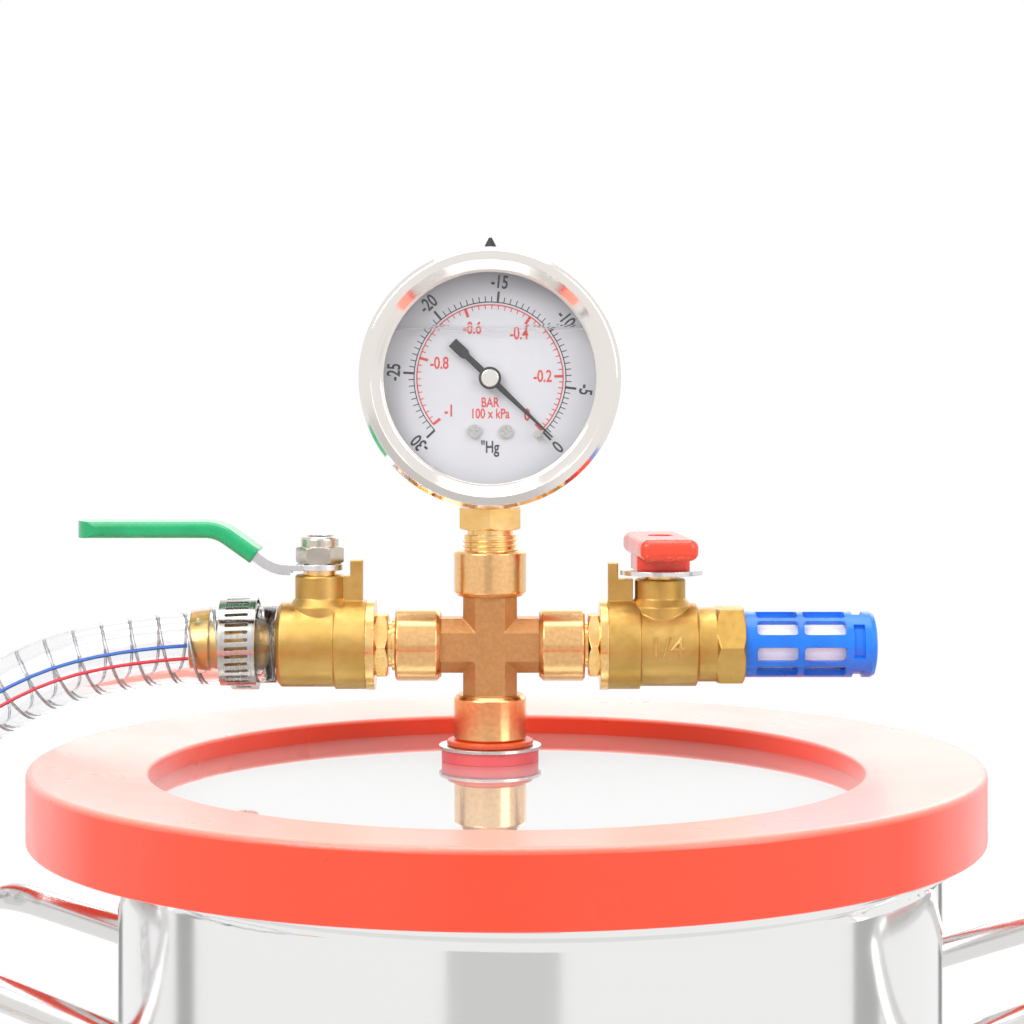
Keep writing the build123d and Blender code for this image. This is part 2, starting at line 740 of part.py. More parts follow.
def lever_grip():
    """Dipped vinyl sleeve over the lever's tongue, round at its end."""
    drop = -LEVER_FLANGE / 2
    section = Pos(0, drop) * RectangleRounded(GRIP_WIDTH, GRIP_THICK, GRIP_EDGE)
    blank = along(lever_path(GRIP_FROM, LEVER_LENGTH), section)
    blank &= extrude(SlotOverall(2 * LEVER_LENGTH, GRIP_WIDTH), 2 * CROSS_Z)
    return Pos(PUMP_STEM_AT, 0, 0) * (blank - lever_strip())


def lever_nut():
    """Lock nut: hexagon with a round crown for its insert."""
    low = LEVER_Z + LEVER_THICK
    crown = low + NUT_HEIGHT
    collar = disc(NUT_COLLAR_R, low, crown)
    collar = fillet([e for e in circles(collar) if e.center().Z > crown - FIT], NUT_CROWN_EDGE)
    nut = hexagon(NUT_AF, low, low + NUT_HEX) + collar - disc(STEM_R, low, crown)
    nut -= disc(STEM_R + INSERT_WIDTH - INSERT_LIP, crown - INSERT_DOWN, crown)
    return Pos(PUMP_STEM_AT, 0, 0) * (nut - insert_ring(crown, 0.0))


def insert_ring(crown, bore):
    high = crown - INSERT_DOWN
    return disc(STEM_R + INSERT_WIDTH, high - INSERT_DEEP, high, bore)


def lever_nut_insert():
    return Pos(PUMP_STEM_AT, 0, 0) * insert_ring(LEVER_Z + LEVER_THICK + NUT_HEIGHT, STEM_R)


def vent_disc():
    """Stop disc: a wide notch lets it turn a quarter past the lug."""
    inner = VENT_STEM_AT - VENT_LUG_FROM - VENT_LUG_LENGTH - APART
    gap = degrees(asin((LUG_WIDTH / 2 + APART) / inner))
    notch = sector_of(2 * DISC_R, 180 - QUARTER_TURN - gap, 180 + gap, DISC_Z, WING_Z)
    plate = disc(DISC_R, DISC_Z, WING_Z)
    plate = plate - (notch - disc(inner, DISC_Z, WING_Z)) - disc(STEM_R, DISC_Z, WING_Z)
    return Pos(VENT_STEM_AT, 0, 0) * plate


def vent_wings():
    """Moulded butterfly handle with a recess for its screw."""
    top = WING_HEIGHT
    bar = Pos(0, 0, top - WING_THICK / 2) * Box(WING_WIDTH, 2 * WING_REACH, WING_THICK)
    bar = fillet(bar.edges(), WING_EDGE)
    waist = top - WING_THICK / 2
    block = Pos(0, 0, waist / 2) * Box(WING_BLOCK, WING_BLOCK, waist)
    block = fillet(block.edges().filter_by(Axis.Z), 1.0) + bar
    block -= disc(STEM_R, 0, VENT_STEM_TOP - WING_Z)
    block -= disc(SCREW_HEAD_R + LOOSE, VENT_STEM_TOP - WING_Z, top)
    return Pos(VENT_STEM_AT, 0, WING_Z) * Rot(0, 0, WING_TURN) * block


def vent_screw():
    """Pan head screw with a cross recess, in the stem's tapped end."""
    screw = disc(SCREW_R, VENT_STEM_TOP - 5.0, VENT_STEM_TOP)
    head = disc(SCREW_HEAD_R, VENT_STEM_TOP, VENT_STEM_TOP + 2.2)
    head = fillet([e for e in circles(head) if e.center().Z > VENT_STEM_TOP + 1], 0.8)
    arm = Pos(0, 0, VENT_STEM_TOP + 1.7) * Box(3.6, 0.8, 1.0)
    return Pos(VENT_STEM_AT, 0, 0) * (screw + head - arm - Rot(0, 0, 90) * arm)


# ---------------------------------------------------------------- silencer


def silencer_cage():
    """Moulded basket: bars and rings round the filter core, a threaded root."""
    root = VENT_BODY_END - THREAD_DEPTH + 0.4
    inner = SILENCER_R - SILENCER_WALL
    cage = rod_x(SILENCER_R, VENT_BODY_END, SILENCER_END - 1.6)
    cage += turned_x(
        [
            (SILENCER_END - 1.6, 0),
            (SILENCER_END - 1.6, SILENCER_R),
            (SILENCER_END - 0.5, SILENCER_R - 0.6),
            (SILENCER_END, SILENCER_R - 2.4),
            (SILENCER_END, 0),
        ]
    )
    cage += rod_x(THREAD_R, root, VENT_BODY_END)
    cage -= rod_x(inner, VENT_BODY_END + 1.2, SILENCER_END - 2.2)
    cage -= rod_x(PORT_BORE_R, root, VENT_BODY_END + 1.2)
    reach = 3 * SILENCER_WALL
    for low, high in WINDOW_COLUMNS:
        window = Box(high - low, WINDOW_WIDTH, reach)
        window = fillet(window.edges().filter_by(Axis.Z), WINDOW_EDGE)
        cut = Pos((low + high) / 2, 0, SILENCER_R) * window
        for turn in WINDOW_TURNS:
            cage -= Rot(SILENCER_TURN + turn, 0, 0) * cut
            cage -= Rot(SILENCER_TURN + turn + 180, 0, 0) * cut
    low, high = END_SLOT
    half = END_SLOT_SPAN / 2
    slot = sector_of(2 * SILENCER_R, 180 - half, 180 + half, low, high)
    slot = Rot(0, 90, 0) * (slot - disc(SILENCER_R - END_SLOT_DEEP, low, high))
    for i in range(END_SLOTS):
        cage -= Rot(SILENCER_TURN + 360 / END_SLOTS * i, 0, 0) * slot
    return cage


def silencer_core():
    """Porous cup that quiets the air let in."""
    low = VENT_BODY_END + 1.2
    core = rod_x(CORE_R, low, SILENCER_END - 2.2)
    return core - rod_x(PORT_BORE_R, low, SILENCER_END - 6.0)


# ---------------------------------------------------------------- gauge


def gauge_socket():
    """Threaded shank, hexagon and the block that carries the works."""
    thread_low = COLLAR_TOP - THREAD_DEPTH + 0.5 - GAUGE_Z
    shank = disc(THREAD_R, thread_low, -SOCKET_HEX_BOTTOM - 1.4)
    shank += disc(THREAD_R - 0.8, -SOCKET_HEX_BOTTOM - 1.4, -SOCKET_HEX_BOTTOM)
    flats = hexagon(SOCKET_HEX_AF, -SOCKET_HEX_BOTTOM, -SOCKET_HEX_TOP + SOCKET_HEX_CUT)
    flats -= disc(SOCKET_HEX_AF, -SOCKET_HEX_TOP, -SOCKET_HEX_TOP + SOCKET_HEX_CUT)
    shank += Rot(0, 0, 30) * flats
    block_low = FIT - sqrt((CASE_R - CASE_WALL) ** 2 - (BLOCK_WIDTH / 2) ** 2)
    shank += disc(NECK_R, -SOCKET_HEX_TOP, block_low)
    back = DIAL_AT - BLOCK_DEPTH
    middle = -(DIAL_AT + back) / 2
    height = BLOCK_TOP - block_low
    block = Pos(0, middle, block_low + height / 2) * Box(BLOCK_WIDTH, BLOCK_DEPTH, height)
    shank += block
    shank -= disc(1.5, thread_low, BLOCK_TOP - 6.0)
    for side in (-1, 1):
        hole = Rot(90, 0, 0) * disc(1.2, 0, 6.0)
        shank -= Pos(side * DIAL_SCREW_SPREAD, -DIAL_AT + 6.0, -DIAL_SCREW_DROP) * hole
    return Pos(PORT_X, PORT_Y, GAUGE_Z) * shank


def gauge_case():
    """Drawn steel pan, open to the front, with a flange for the bezel."""
    inner = CASE_R - CASE_WALL
    flange = BEZEL_R - BEZEL_SHEET - FIT
    corner = CASE_CORNER
    pan = turned(
        [
            (0, CASE_BACK),
            (CASE_R - corner, CASE_BACK),
            (CASE_R, CASE_BACK + corner),
            (CASE_R, CASE_FRONT - CASE_FLANGE),
            (flange, CASE_FRONT - CASE_FLANGE),
            (flange, CASE_FRONT),
            (inner, CASE_FRONT),
            (inner, CASE_BACK + corner),
            (inner - corner, CASE_BACK + CASE_WALL),
            (0, CASE_BACK + CASE_WALL),
        ]
    )
    pan = DIAL_FACE * pan
    pan -= Pos(PORT_X, PORT_Y, GAUGE_Z) * disc(NECK_R + FIT, -1.2 * CASE_R, -0.7 * CASE_R)
    return pan - Pos(PORT_X, PLUG_Y, GAUGE_Z) * disc(PLUG_R + FIT, 0.7 * CASE_R, 1.2 * CASE_R)


def gauge_bezel():
    """Polished ring crimped over the case, stepped towards the window."""
    sheet = BEZEL_SHEET
    lip = BEZEL_FRONT - BEZEL_SINK
    inner = BEZEL_R - sheet
    outline = [
        (DIAL_VIEW_R, lip - sheet),
        (DIAL_VIEW_R, lip),
        (DIAL_VIEW_R + BEZEL_LIP, lip + 0.1),
        (BEZEL_STEP_R - 0.6, BEZEL_FRONT - 0.5),
        (BEZEL_STEP_R, BEZEL_FRONT),
        (BEZEL_R - 1.0, BEZEL_FRONT - 0.2),
        (BEZEL_R, BEZEL_FRONT - 1.4),
        (BEZEL_R, BEZEL_BACK),
        (inner, BEZEL_BACK),
        (inner, lip - sheet),
    ]
    return DIAL_FACE * turned(outline)


def gauge_window():
    radius = BEZEL_R - BEZEL_SHEET - FIT
    return DIAL_FACE * disc(radius, CASE_FRONT, BEZEL_FRONT - BEZEL_SINK - BEZEL_SHEET)


def gauge_dial():
    """Printed plate, screwed to the block."""
    top = DIAL_AT + DIAL_THICK
    plate = disc(DIAL_R, DIAL_AT, top, ARBOR_R + 0.6)
    for side in (-1, 1):
        plate -= Pos(side * DIAL_SCREW_SPREAD, -DIAL_SCREW_DROP, 0) * disc(1.3, DIAL_AT, top)
    pin_at = Pos(*stop_pin_place(), 0)
    return DIAL_FACE * (plate - pin_at * disc(0.6, DIAL_AT, top))


def dial_screws():
    """Two cross-head screws."""
    top = DIAL_AT + DIAL_THICK
    pair = []
    for side in (-1, 1):
        screw = disc(1.2, DIAL_AT - 4.0, top) + disc(1.8, top, top + 0.8)
        arm = Pos(0, 0, top + 0.7) * Box(2.2, 0.5, 0.5)
        screw = screw - arm - Rot(0, 0, 90) * arm
        pair.append(DIAL_FACE * Pos(side * DIAL_SCREW_SPREAD, -DIAL_SCREW_DROP, 0) * screw)
    return pair


def stop_pin_place():
    """The pin stands just below the needle's zero."""
    reach = 19.2
    below = radians(NEEDLE_REST) - asin(2.0 / reach)
    return reach * cos(below), reach * sin(below)


def stop_pin():
    top = NEEDLE_AT + NEEDLE_THICK + 0.8
    pin = disc(0.6, DIAL_AT, DIAL_AT + DIAL_THICK) + disc(1.0, DIAL_AT + DIAL_THICK, top)
    return DIAL_FACE * Pos(*stop_pin_place(), 0) * pin


def needle():
    """Tapered pointer with a broad tail and a round hub."""
    tail = NEEDLE_WIDTH / 2
    face = make_face(
        Polyline(
            (-NEEDLE_TAIL, -tail),
            (-NEEDLE_TAIL + 4.5, -tail),
            (-NEEDLE_TAIL + 5.5, -0.8),
            (0, -0.9),
            (NEEDLE_TIP, -0.2),
            (NEEDLE_TIP, 0.2),
            (0, 0.9),
            (-NEEDLE_TAIL + 5.5, 0.8),
            (-NEEDLE_TAIL + 4.5, tail),
            (-NEEDLE_TAIL, tail),
            close=True,
        )
    )
    top = NEEDLE_AT + NEEDLE_THICK
    hand = Pos(0, 0, NEEDLE_AT) * extrude(face, NEEDLE_THICK)
    hand += disc(HUB_R, NEEDLE_AT, top + 0.7)
    hand -= disc(ARBOR_R, NEEDLE_AT, top + 0.7)
    return DIAL_FACE * Rot(0, 0, NEEDLE_REST) * hand


def needle_arbor():
    """Shaft with its pinion, turned by the works behind the dial."""
    low = PLATE_BACK
    pinion_low = PLATE_BACK + PLATE_THICK + APART
    pinion_high = pinion_low + PINION_LENGTH
    root = PINION_R - PINION_TOOTH
    shaft = disc(ARBOR_R, low, ARBOR_TOP) + disc(root, pinion_low, pinion_high)
    for i in range(PINION_TEETH):
        tooth = Box(2 * PINION_TOOTH, 0.45, PINION_LENGTH)
        tooth = Pos(root, 0, (pinion_low + pinion_high) / 2) * tooth
        shaft += Rot(0, 0, 360 / PINION_TEETH * i) * tooth
    return DIAL_FACE * shaft


def needle_cap():
    cap = disc(HUB_R - 0.6, ARBOR_TOP, ARBOR_TOP + 0.7)
    cap = fillet([e for e in circles(cap) if e.center().Z > ARBOR_TOP + 0.5], 0.3)
    return DIAL_FACE * cap


def movement_frame():
    """Two plates on pillars that carry the needle's shaft."""
    low = PLATE_BACK
    high = low + PLATE_THICK + WORKS_DEPTH
    bottom = BLOCK_TOP
    middle = bottom + PLATE_HEIGHT / 2
    plate = Pos(0, middle, 0) * RectangleRounded(PLATE_WIDTH, PLATE_HEIGHT, 1.5)
    frame = Pos(0, 0, low) * extrude(plate, PLATE_THICK)
    frame += Pos(0, 0, high) * extrude(plate, PLATE_THICK)
    inset = 2.5
    for corner in GridLocations(PLATE_WIDTH - 2 * inset, PLATE_HEIGHT - 2 * inset, 2, 2):
        frame += Pos(0, middle, 0) * corner * disc(1.3, low, high)
    return DIAL_FACE * (frame - disc(ARBOR_R + FIT, low, high + PLATE_THICK))


def bourdon_tube():
    """Flattened spring tube in a C, soldered to the side of the block."""
    section = Pos(TUBE_R, 0, 0) * SlotOverall(TUBE_WIDTH, TUBE_THICK, rotation=90)
    tube = Rot(0, 0, TUBE_START) * revolve(Plane.XZ * section, Axis.Z, TUBE_TURN)
    block = Pos(0, BLOCK_TOP - TUBE_R / 2, 0) * Box(BLOCK_WIDTH, TUBE_R, 2 * TUBE_WIDTH)
    depth = DIAL_AT - BLOCK_DEPTH / 2
    return DIAL_FACE * Pos(0, 0, depth) * (tube - block)


def fill_plug():
    """Rubber bung in the top of the case."""
    base = CASE_R - 1.5
    plug = turned(
        [
            (0, base),
            (5.4, base),
            (5.4, CASE_R + 0.9),
            (PLUG_NIPPLE_R, PLUG_TOP - 2.5),
            (0.4, PLUG_TOP),
            (0, PLUG_TOP),
        ]
    )
    plug = Pos(PORT_X, PLUG_Y, GAUGE_Z) * plug
    plug -= DIAL_FACE * disc(CASE_R + FIT, CASE_BACK, CASE_FRONT)
    low = CASE_R - 3.0
    return plug + Pos(PORT_X, PLUG_Y, GAUGE_Z) * disc(PLUG_R, low, CASE_R + 0.6)


# ---------------------------------------------------------------- hose clamp


def clamp_turn(turn):
    """A place on the clamp, turned from the top towards the back."""
    return Rot(turn, 0, 0)


def clamp_band():
    """Slotted strip: a whole turn, then a loose end that springs off over it."""
    high = BAND_FROM + BAND_WIDTH
    outer = BAND_R + BAND_THICK
    tail_in = outer + FIT
    top = tail_in + BAND_THICK
    band = rod_x(outer, BAND_FROM, high, BAND_R)
    start = HOUSING_TURN + HOUSING_HALF_ANGLE
    shift = Pos(0, 0, TAIL_RISE)
    tail = rod_x(top, BAND_FROM, high, tail_in)
    sprung = shift * tail
    tail &= clamp_wedge(HOUSING_TURN - TAIL_STEP, start, BAND_FROM, high)
    sprung &= clamp_wedge(TAIL_TURN, HOUSING_TURN - TAIL_STEP, BAND_FROM, high)
    root = rod_x(top, BAND_FROM, high, BAND_R) & clamp_wedge(start, start + 4.0, BAND_FROM, high)
    band += tail + sprung + root
    middle = BAND_FROM + BAND_WIDTH / 2
    slot = RectangleRounded(SLOT_LENGTH, SLOT_WIDTH, SLOT_WIDTH * 0.45, rotation=SLOT_LEAN)
    slot = Pos(middle, 0, BAND_R) * extrude(slot, 6 * BAND_THICK, both=True)
    pitch = 360 / BAND_SLOTS
    for i in range(BAND_SLOTS):
        turn = i * pitch
        if abs(turn - HOUSING_TURN) > HOUSING_HALF_ANGLE + pitch:
            band -= clamp_turn(turn) * slot
    return band


def clamp_wedge(start, end, low, high):
    """A slice of the clamp between two turns."""
    return Rot(0, 90, 0) * sector_of(4 * BAND_R, 180 + start, 180 + end, low, high)


def worm_place():
    """Middle of the worm, over the two layers of the band."""
    height = BAND_R + 2 * BAND_THICK + WORM_R + 2 * APART
    return clamp_turn(HOUSING_TURN) * Pos(BAND_FROM + BAND_WIDTH / 2, 0, height)


def clamp_housing():
    """Pressed saddle that holds the worm down on the band."""
    outer = WORM_R + APART + HOUSING_WALL
    inner = WORM_R + APART
    arch = Rot(90, 0, 0) * disc(outer, -HOUSING_LENGTH / 2, HOUSING_LENGTH / 2, inner)
    drop = WORM_R + 2 * APART + BAND_THICK
    floor = Pos(0, 0, -drop) * Box(BAND_WIDTH, HOUSING_LENGTH, 2 * drop)
    legs = Pos(0, 0, -drop / 2) * Box(2 * outer, HOUSING_LENGTH, drop)
    legs -= Pos(0, 0, -drop / 2) * Box(2 * inner, HOUSING_LENGTH, drop)
    saddle = (arch - floor) + legs
    clear = BAND_R + 2 * BAND_THICK + 2 * FIT
    return worm_place() * saddle - rod_x(clear, 0, 2 * PUMP_BODY_END)


def clamp_screw():
    """Worm with a slotted hexagon head at its lower end."""
    half = HOUSING_LENGTH / 2
    screw = disc(WORM_R - 0.7, -half, half + 1.0)
    turns = 5
    for i in range(turns):
        low = -half + 0.8 + i * (2 * half - 1.6) / turns
        thread = [(0, low), (WORM_R - 0.7, low), (WORM_R, low + 0.6)]
        thread += [(WORM_R, low + 1.0), (WORM_R - 0.7, low + 1.6), (0, low + 1.6)]
        screw += turned(thread)
    head = hexagon(7.0, half + 1.0, half + 5.0)
    head -= Pos(0, 0, half + 4.6) * Box(9.0, 1.0, 1.6)
    return worm_place() * Rot(90, 0, 0) * (screw + head)


# ---------------------------------------------------------------- hose


def hose_line():
    """Straight runs joined by tangent arcs, each as large as its runs allow."""
    points = [Vector(x, PORT_Y, z) for x, z in ROUTE]
    radii = []
    for before, here, after in zip(points, points[1:], points[2:]):
        run_in, run_out = here - before, after - here
        turn = run_in.get_angle(run_out)
        shorter = min(run_in.length, run_out.length)
        radii.append(ARC_SHARE * shorter / tan(radians(turn) / 2))
    print("hose radii, mm:", [round(r, 1) for r in radii])
    return FilletPolyline(*points, radius=radii)


def hose():
    """Clear wall round an open bore, spread where it is pushed over the barb."""
    line = hose_line()
    start = Plane(origin=line @ 0, z_dir=line % 0)
    wall = sweep(start * Circle(HOSE_R), line)
    bore = sweep(start * Circle(HOSE_BORE_R), line)
    share = wall.volume / (pi * HOSE_R**2 * line.length)
    print("hose length, mm:", round(line.length, 1), "volume share:", round(share, 4))
    taper = 3.0
    end = PUMP_BODY_END + HOSE_GAP
    cuff = [(0, 0), (0, CUFF_R), (CUFF_LENGTH, CUFF_R), (CUFF_LENGTH + taper, HOSE_R)]
    cuff += [(CUFF_LENGTH + taper, 0)]
    open_end = [(0, 0), (0, CUFF_BORE_R), (BARB_LENGTH, CUFF_BORE_R)]
    open_end += [(BARB_LENGTH + 0.6, HOSE_BORE_R), (BARB_LENGTH + 0.6, 0)]
    place = PUMP_SIDE * Pos(end, 0, 0)
    return wall + place * turned_x(cuff) - bore - place * turned_x(open_end)


def coil_section(z):
    """A round-cornered square at the coil's mean radius, standing on z."""
    side = 2 * HOSE_R
    return Plane.XZ * Pos(COIL_R, z + HOSE_R) * RectangleRounded(side, side, COIL_CORNER)


def hose_coil():
    """The put-away length: a full lower turn, part of an upper one, and a tail."""
    lower = revolve(coil_section(COIL_LIFT), Axis.Z)
    upper = Rot(0, 0, 90) * revolve(coil_section(COIL_LIFT + LAYER), Axis.Z, TOP_TURN)
    web = Rot(0, 0, 90) * sector_of(COIL_R + 2.0, 0, TOP_TURN, COIL_Z, COIL_Z + LAYER)
    web -= disc(COIL_R - 2.0, 0, 2 * LAYER)
    tail = Pos(0, -COIL_R, COIL_Z) * rod_x(HOSE_R, 0, TAIL_LENGTH)
    return Pos(COIL_X, COIL_Y, 0) * (lower + upper + web + tail)


def hose_tie():
    """Soft strap round the bundle of turns."""
    inside_w = 2 * HOSE_R + 2 * TIE_GAP
    high = COIL_LIFT + LAYER + 2 * HOSE_R + LOOSE
    low = COIL_LIFT - LOOSE
    middle = (high + low) / 2
    outer = RectangleRounded(inside_w + 2 * TIE_THICK, high - low + 2 * TIE_THICK, COIL_CORNER)
    inner = RectangleRounded(inside_w, high - low, COIL_CORNER - TIE_THICK)
    strap = extrude(Plane.XZ * (outer - inner), TIE_WIDTH / 2, both=True)
    return Pos(COIL_X - COIL_R, COIL_Y, middle) * strap


def pump_fitting():
    """Crimped ferrule and hexagon with the female thread for the pump."""
    end = TAIL_LENGTH
    hex_end = end + PUMP_HEX_LENGTH
    piece = rod_x(FERRULE_R, end - FERRULE_LENGTH, end + 1.2, HOSE_R + FIT)
    piece += rod_x(FERRULE_R, end, end + 1.2)
    piece += Rot(0, 90, 0) * hexagon(PUMP_HEX_AF, end + 1.2, hex_end)
    piece -= rod_x(PUMP_PORT_R, hex_end - PUMP_PORT_DEPTH, hex_end)
    piece -= rod_x(2.5, end, hex_end)
    return Pos(COIL_X, COIL_Y - COIL_R, COIL_Z) * piece


# ---------------------------------------------------------------- export


def main():
    os.makedirs("parts", exist_ok=True)
    save("pot", pot())
    save("handle_left", handle(-1))
    save("handle_right", handle(1))
    save("seal_ring", seal_ring())
    save("lid_glass", lid_glass())
    for name, piece in port_fittings().items():
        save(name, at_port(piece))
    save("cross", cross())

    pump_end = valve_end(PUMP_HEX_AT, PUMP_RING_AT, PUMP_BODY_AT, PUMP_STEM_AT)
    save("pump_valve_end", PUMP_SIDE * pump_end)
    save("pump_valve_body", PUMP_SIDE * pump_valve_body())
    save("pump_valve_seats", *[PUMP_SIDE * s for s in seats(PUMP_STEM_AT)])
    save("pump_valve_packing", PUMP_SIDE * packing(PUMP_STEM_AT))
    save("pump_valve_gland", PUMP_SIDE * gland(PUMP_STEM_AT, PUMP_GLAND_TOP))
    save("pump_valve_ball", PUMP_SIDE * ball(PUMP_STEM_AT, True))
    save("pump_valve_stem", PUMP_SIDE * stem(PUMP_STEM_AT, PUMP_STEM_TOP, True, False))
    save("pump_lever", PUMP_SIDE * pump_lever())
    save("pump_lever_grip", PUMP_SIDE * lever_grip())
    save("pump_lever_nut", PUMP_SIDE * lever_nut())
    save("pump_lever_nut_insert", PUMP_SIDE * lever_nut_insert())

    vent_end = valve_end(VENT_HEX_AT, VENT_RING_AT, VENT_BODY_AT, VENT_STEM_AT)
    save("vent_valve_end", VENT_SIDE * vent_end)
    save("vent_valve_body", VENT_SIDE * vent_valve_body())
    save("vent_valve_seats", *[VENT_SIDE * s for s in seats(VENT_STEM_AT)])
    save("vent_valve_packing", VENT_SIDE * packing(VENT_STEM_AT))
    save("vent_valve_gland", VENT_SIDE * gland(VENT_STEM_AT, VENT_GLAND_TOP))
    save("vent_valve_ball", VENT_SIDE * ball(VENT_STEM_AT, False))
    save("vent_valve_stem", VENT_SIDE * stem(VENT_STEM_AT, VENT_STEM_TOP, False, True))
    save("vent_handle_disc", VENT_SIDE * vent_disc())
    save("vent_handle_wings", VENT_SIDE * vent_wings())
    save("vent_handle_screw", VENT_SIDE * vent_screw())
    save("silencer_cage", VENT_SIDE * silencer_cage())
    save("silencer_core", VENT_SIDE * silencer_core())

    save("gauge_socket", gauge_socket())
    save("gauge_case", gauge_case())
    save("gauge_bezel", gauge_bezel())
    save("gauge_window", gauge_window())
    save("gauge_dial", gauge_dial())
    save("gauge_dial_screws", *dial_screws())
    save("gauge_stop_pin", stop_pin())
    save("gauge_needle", needle())
    save("gauge_needle_arbor", needle_arbor())
    save("gauge_needle_cap", needle_cap())
    save("gauge_movement_frame", movement_frame())
    save("gauge_bourdon_tube", bourdon_tube())
    save("gauge_fill_plug", fill_plug())

    save("hose_clamp_band", PUMP_SIDE * clamp_band())
    save("hose_clamp_housing", PUMP_SIDE * clamp_housing())
    save("hose_clamp_screw", PUMP_SIDE * clamp_screw())
    save("hose", hose())
    save("hose_coil", hose_coil())
    save("hose_tie", hose_tie())
    save("hose_pump_fitting", pump_fitting())


main()
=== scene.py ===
"""Looks for the vacuum chamber: materials, hose, dial print, lights and camera."""

import json
from math import ceil, cos, pi, radians, sin, sqrt

import bpy
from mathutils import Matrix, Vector


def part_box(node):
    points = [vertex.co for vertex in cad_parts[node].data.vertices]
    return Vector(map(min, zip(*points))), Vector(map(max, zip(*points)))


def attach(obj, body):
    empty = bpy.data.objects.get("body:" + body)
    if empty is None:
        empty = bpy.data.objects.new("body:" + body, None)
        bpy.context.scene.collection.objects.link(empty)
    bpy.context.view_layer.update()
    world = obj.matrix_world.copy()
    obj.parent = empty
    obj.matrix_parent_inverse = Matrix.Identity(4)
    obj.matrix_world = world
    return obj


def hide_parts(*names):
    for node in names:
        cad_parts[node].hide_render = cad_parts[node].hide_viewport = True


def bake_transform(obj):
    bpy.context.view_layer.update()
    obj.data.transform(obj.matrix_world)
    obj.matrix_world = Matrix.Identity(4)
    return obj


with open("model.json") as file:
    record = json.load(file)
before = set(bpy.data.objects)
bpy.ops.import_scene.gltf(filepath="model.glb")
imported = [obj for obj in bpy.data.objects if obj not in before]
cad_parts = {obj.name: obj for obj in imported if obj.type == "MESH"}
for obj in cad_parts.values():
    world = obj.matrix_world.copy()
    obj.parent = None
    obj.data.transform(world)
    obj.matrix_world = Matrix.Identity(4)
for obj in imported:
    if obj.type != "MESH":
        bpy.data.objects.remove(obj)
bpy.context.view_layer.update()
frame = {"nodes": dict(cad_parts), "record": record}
nodes = frame["nodes"]


def middle(name):
    """The middle of a node's box, in the row frame."""
    low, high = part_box(name)
    return (Vector(low) + Vector(high)) / 2


port = middle("cross")
gauge = middle("gauge_bezel")
dial_front = Vector(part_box("gauge_dial")[0]).y

# ------------------------------------------------------------------ camera

CAMERA_PLACE = (-0.0044, -0.610, 0.3017)  # level with the middle of the dial
CAMERA_LENS = 86.1  # mm, on a sensor 36 mm wide
CAMERA_SHIFT = -0.1309  # of the picture's width, so that upright lines stay upright

camera_data = bpy.data.cameras.new("camera")
camera_data.sensor_width = 36.0
camera_data.lens = CAMERA_LENS
camera_data.shift_y = CAMERA_SHIFT
camera = bpy.data.objects.new("camera", camera_data)
camera.location = CAMERA_PLACE
camera.rotation_euler = (radians(90), 0.0, 0.0)
bpy.context.scene.collection.objects.link(camera)
bpy.context.scene.camera = camera
bpy.context.scene.view_settings.view_transform = "Standard"

# ------------------------------------------------------------------ materials

ZONE_EDGE = 0.0004  # half the width over which one zone's finish turns into the other's
ZONE_MOTTLE = 0.35
ZONE_GRAIN = 900.0  # cells per metre
ZONE_BUMP_GRAIN = 1500.0
ZONE_BUMP_DEPTH = 0.00012


def srgb(red, green, blue):
    """A colour given as 0 to 255 on a screen, in linear light."""
    return tuple(
        c / 12.92 if c <= 0.04045 else ((c + 0.055) / 1.055) ** 2.4
        for c in (red / 255, green / 255, blue / 255)
    )


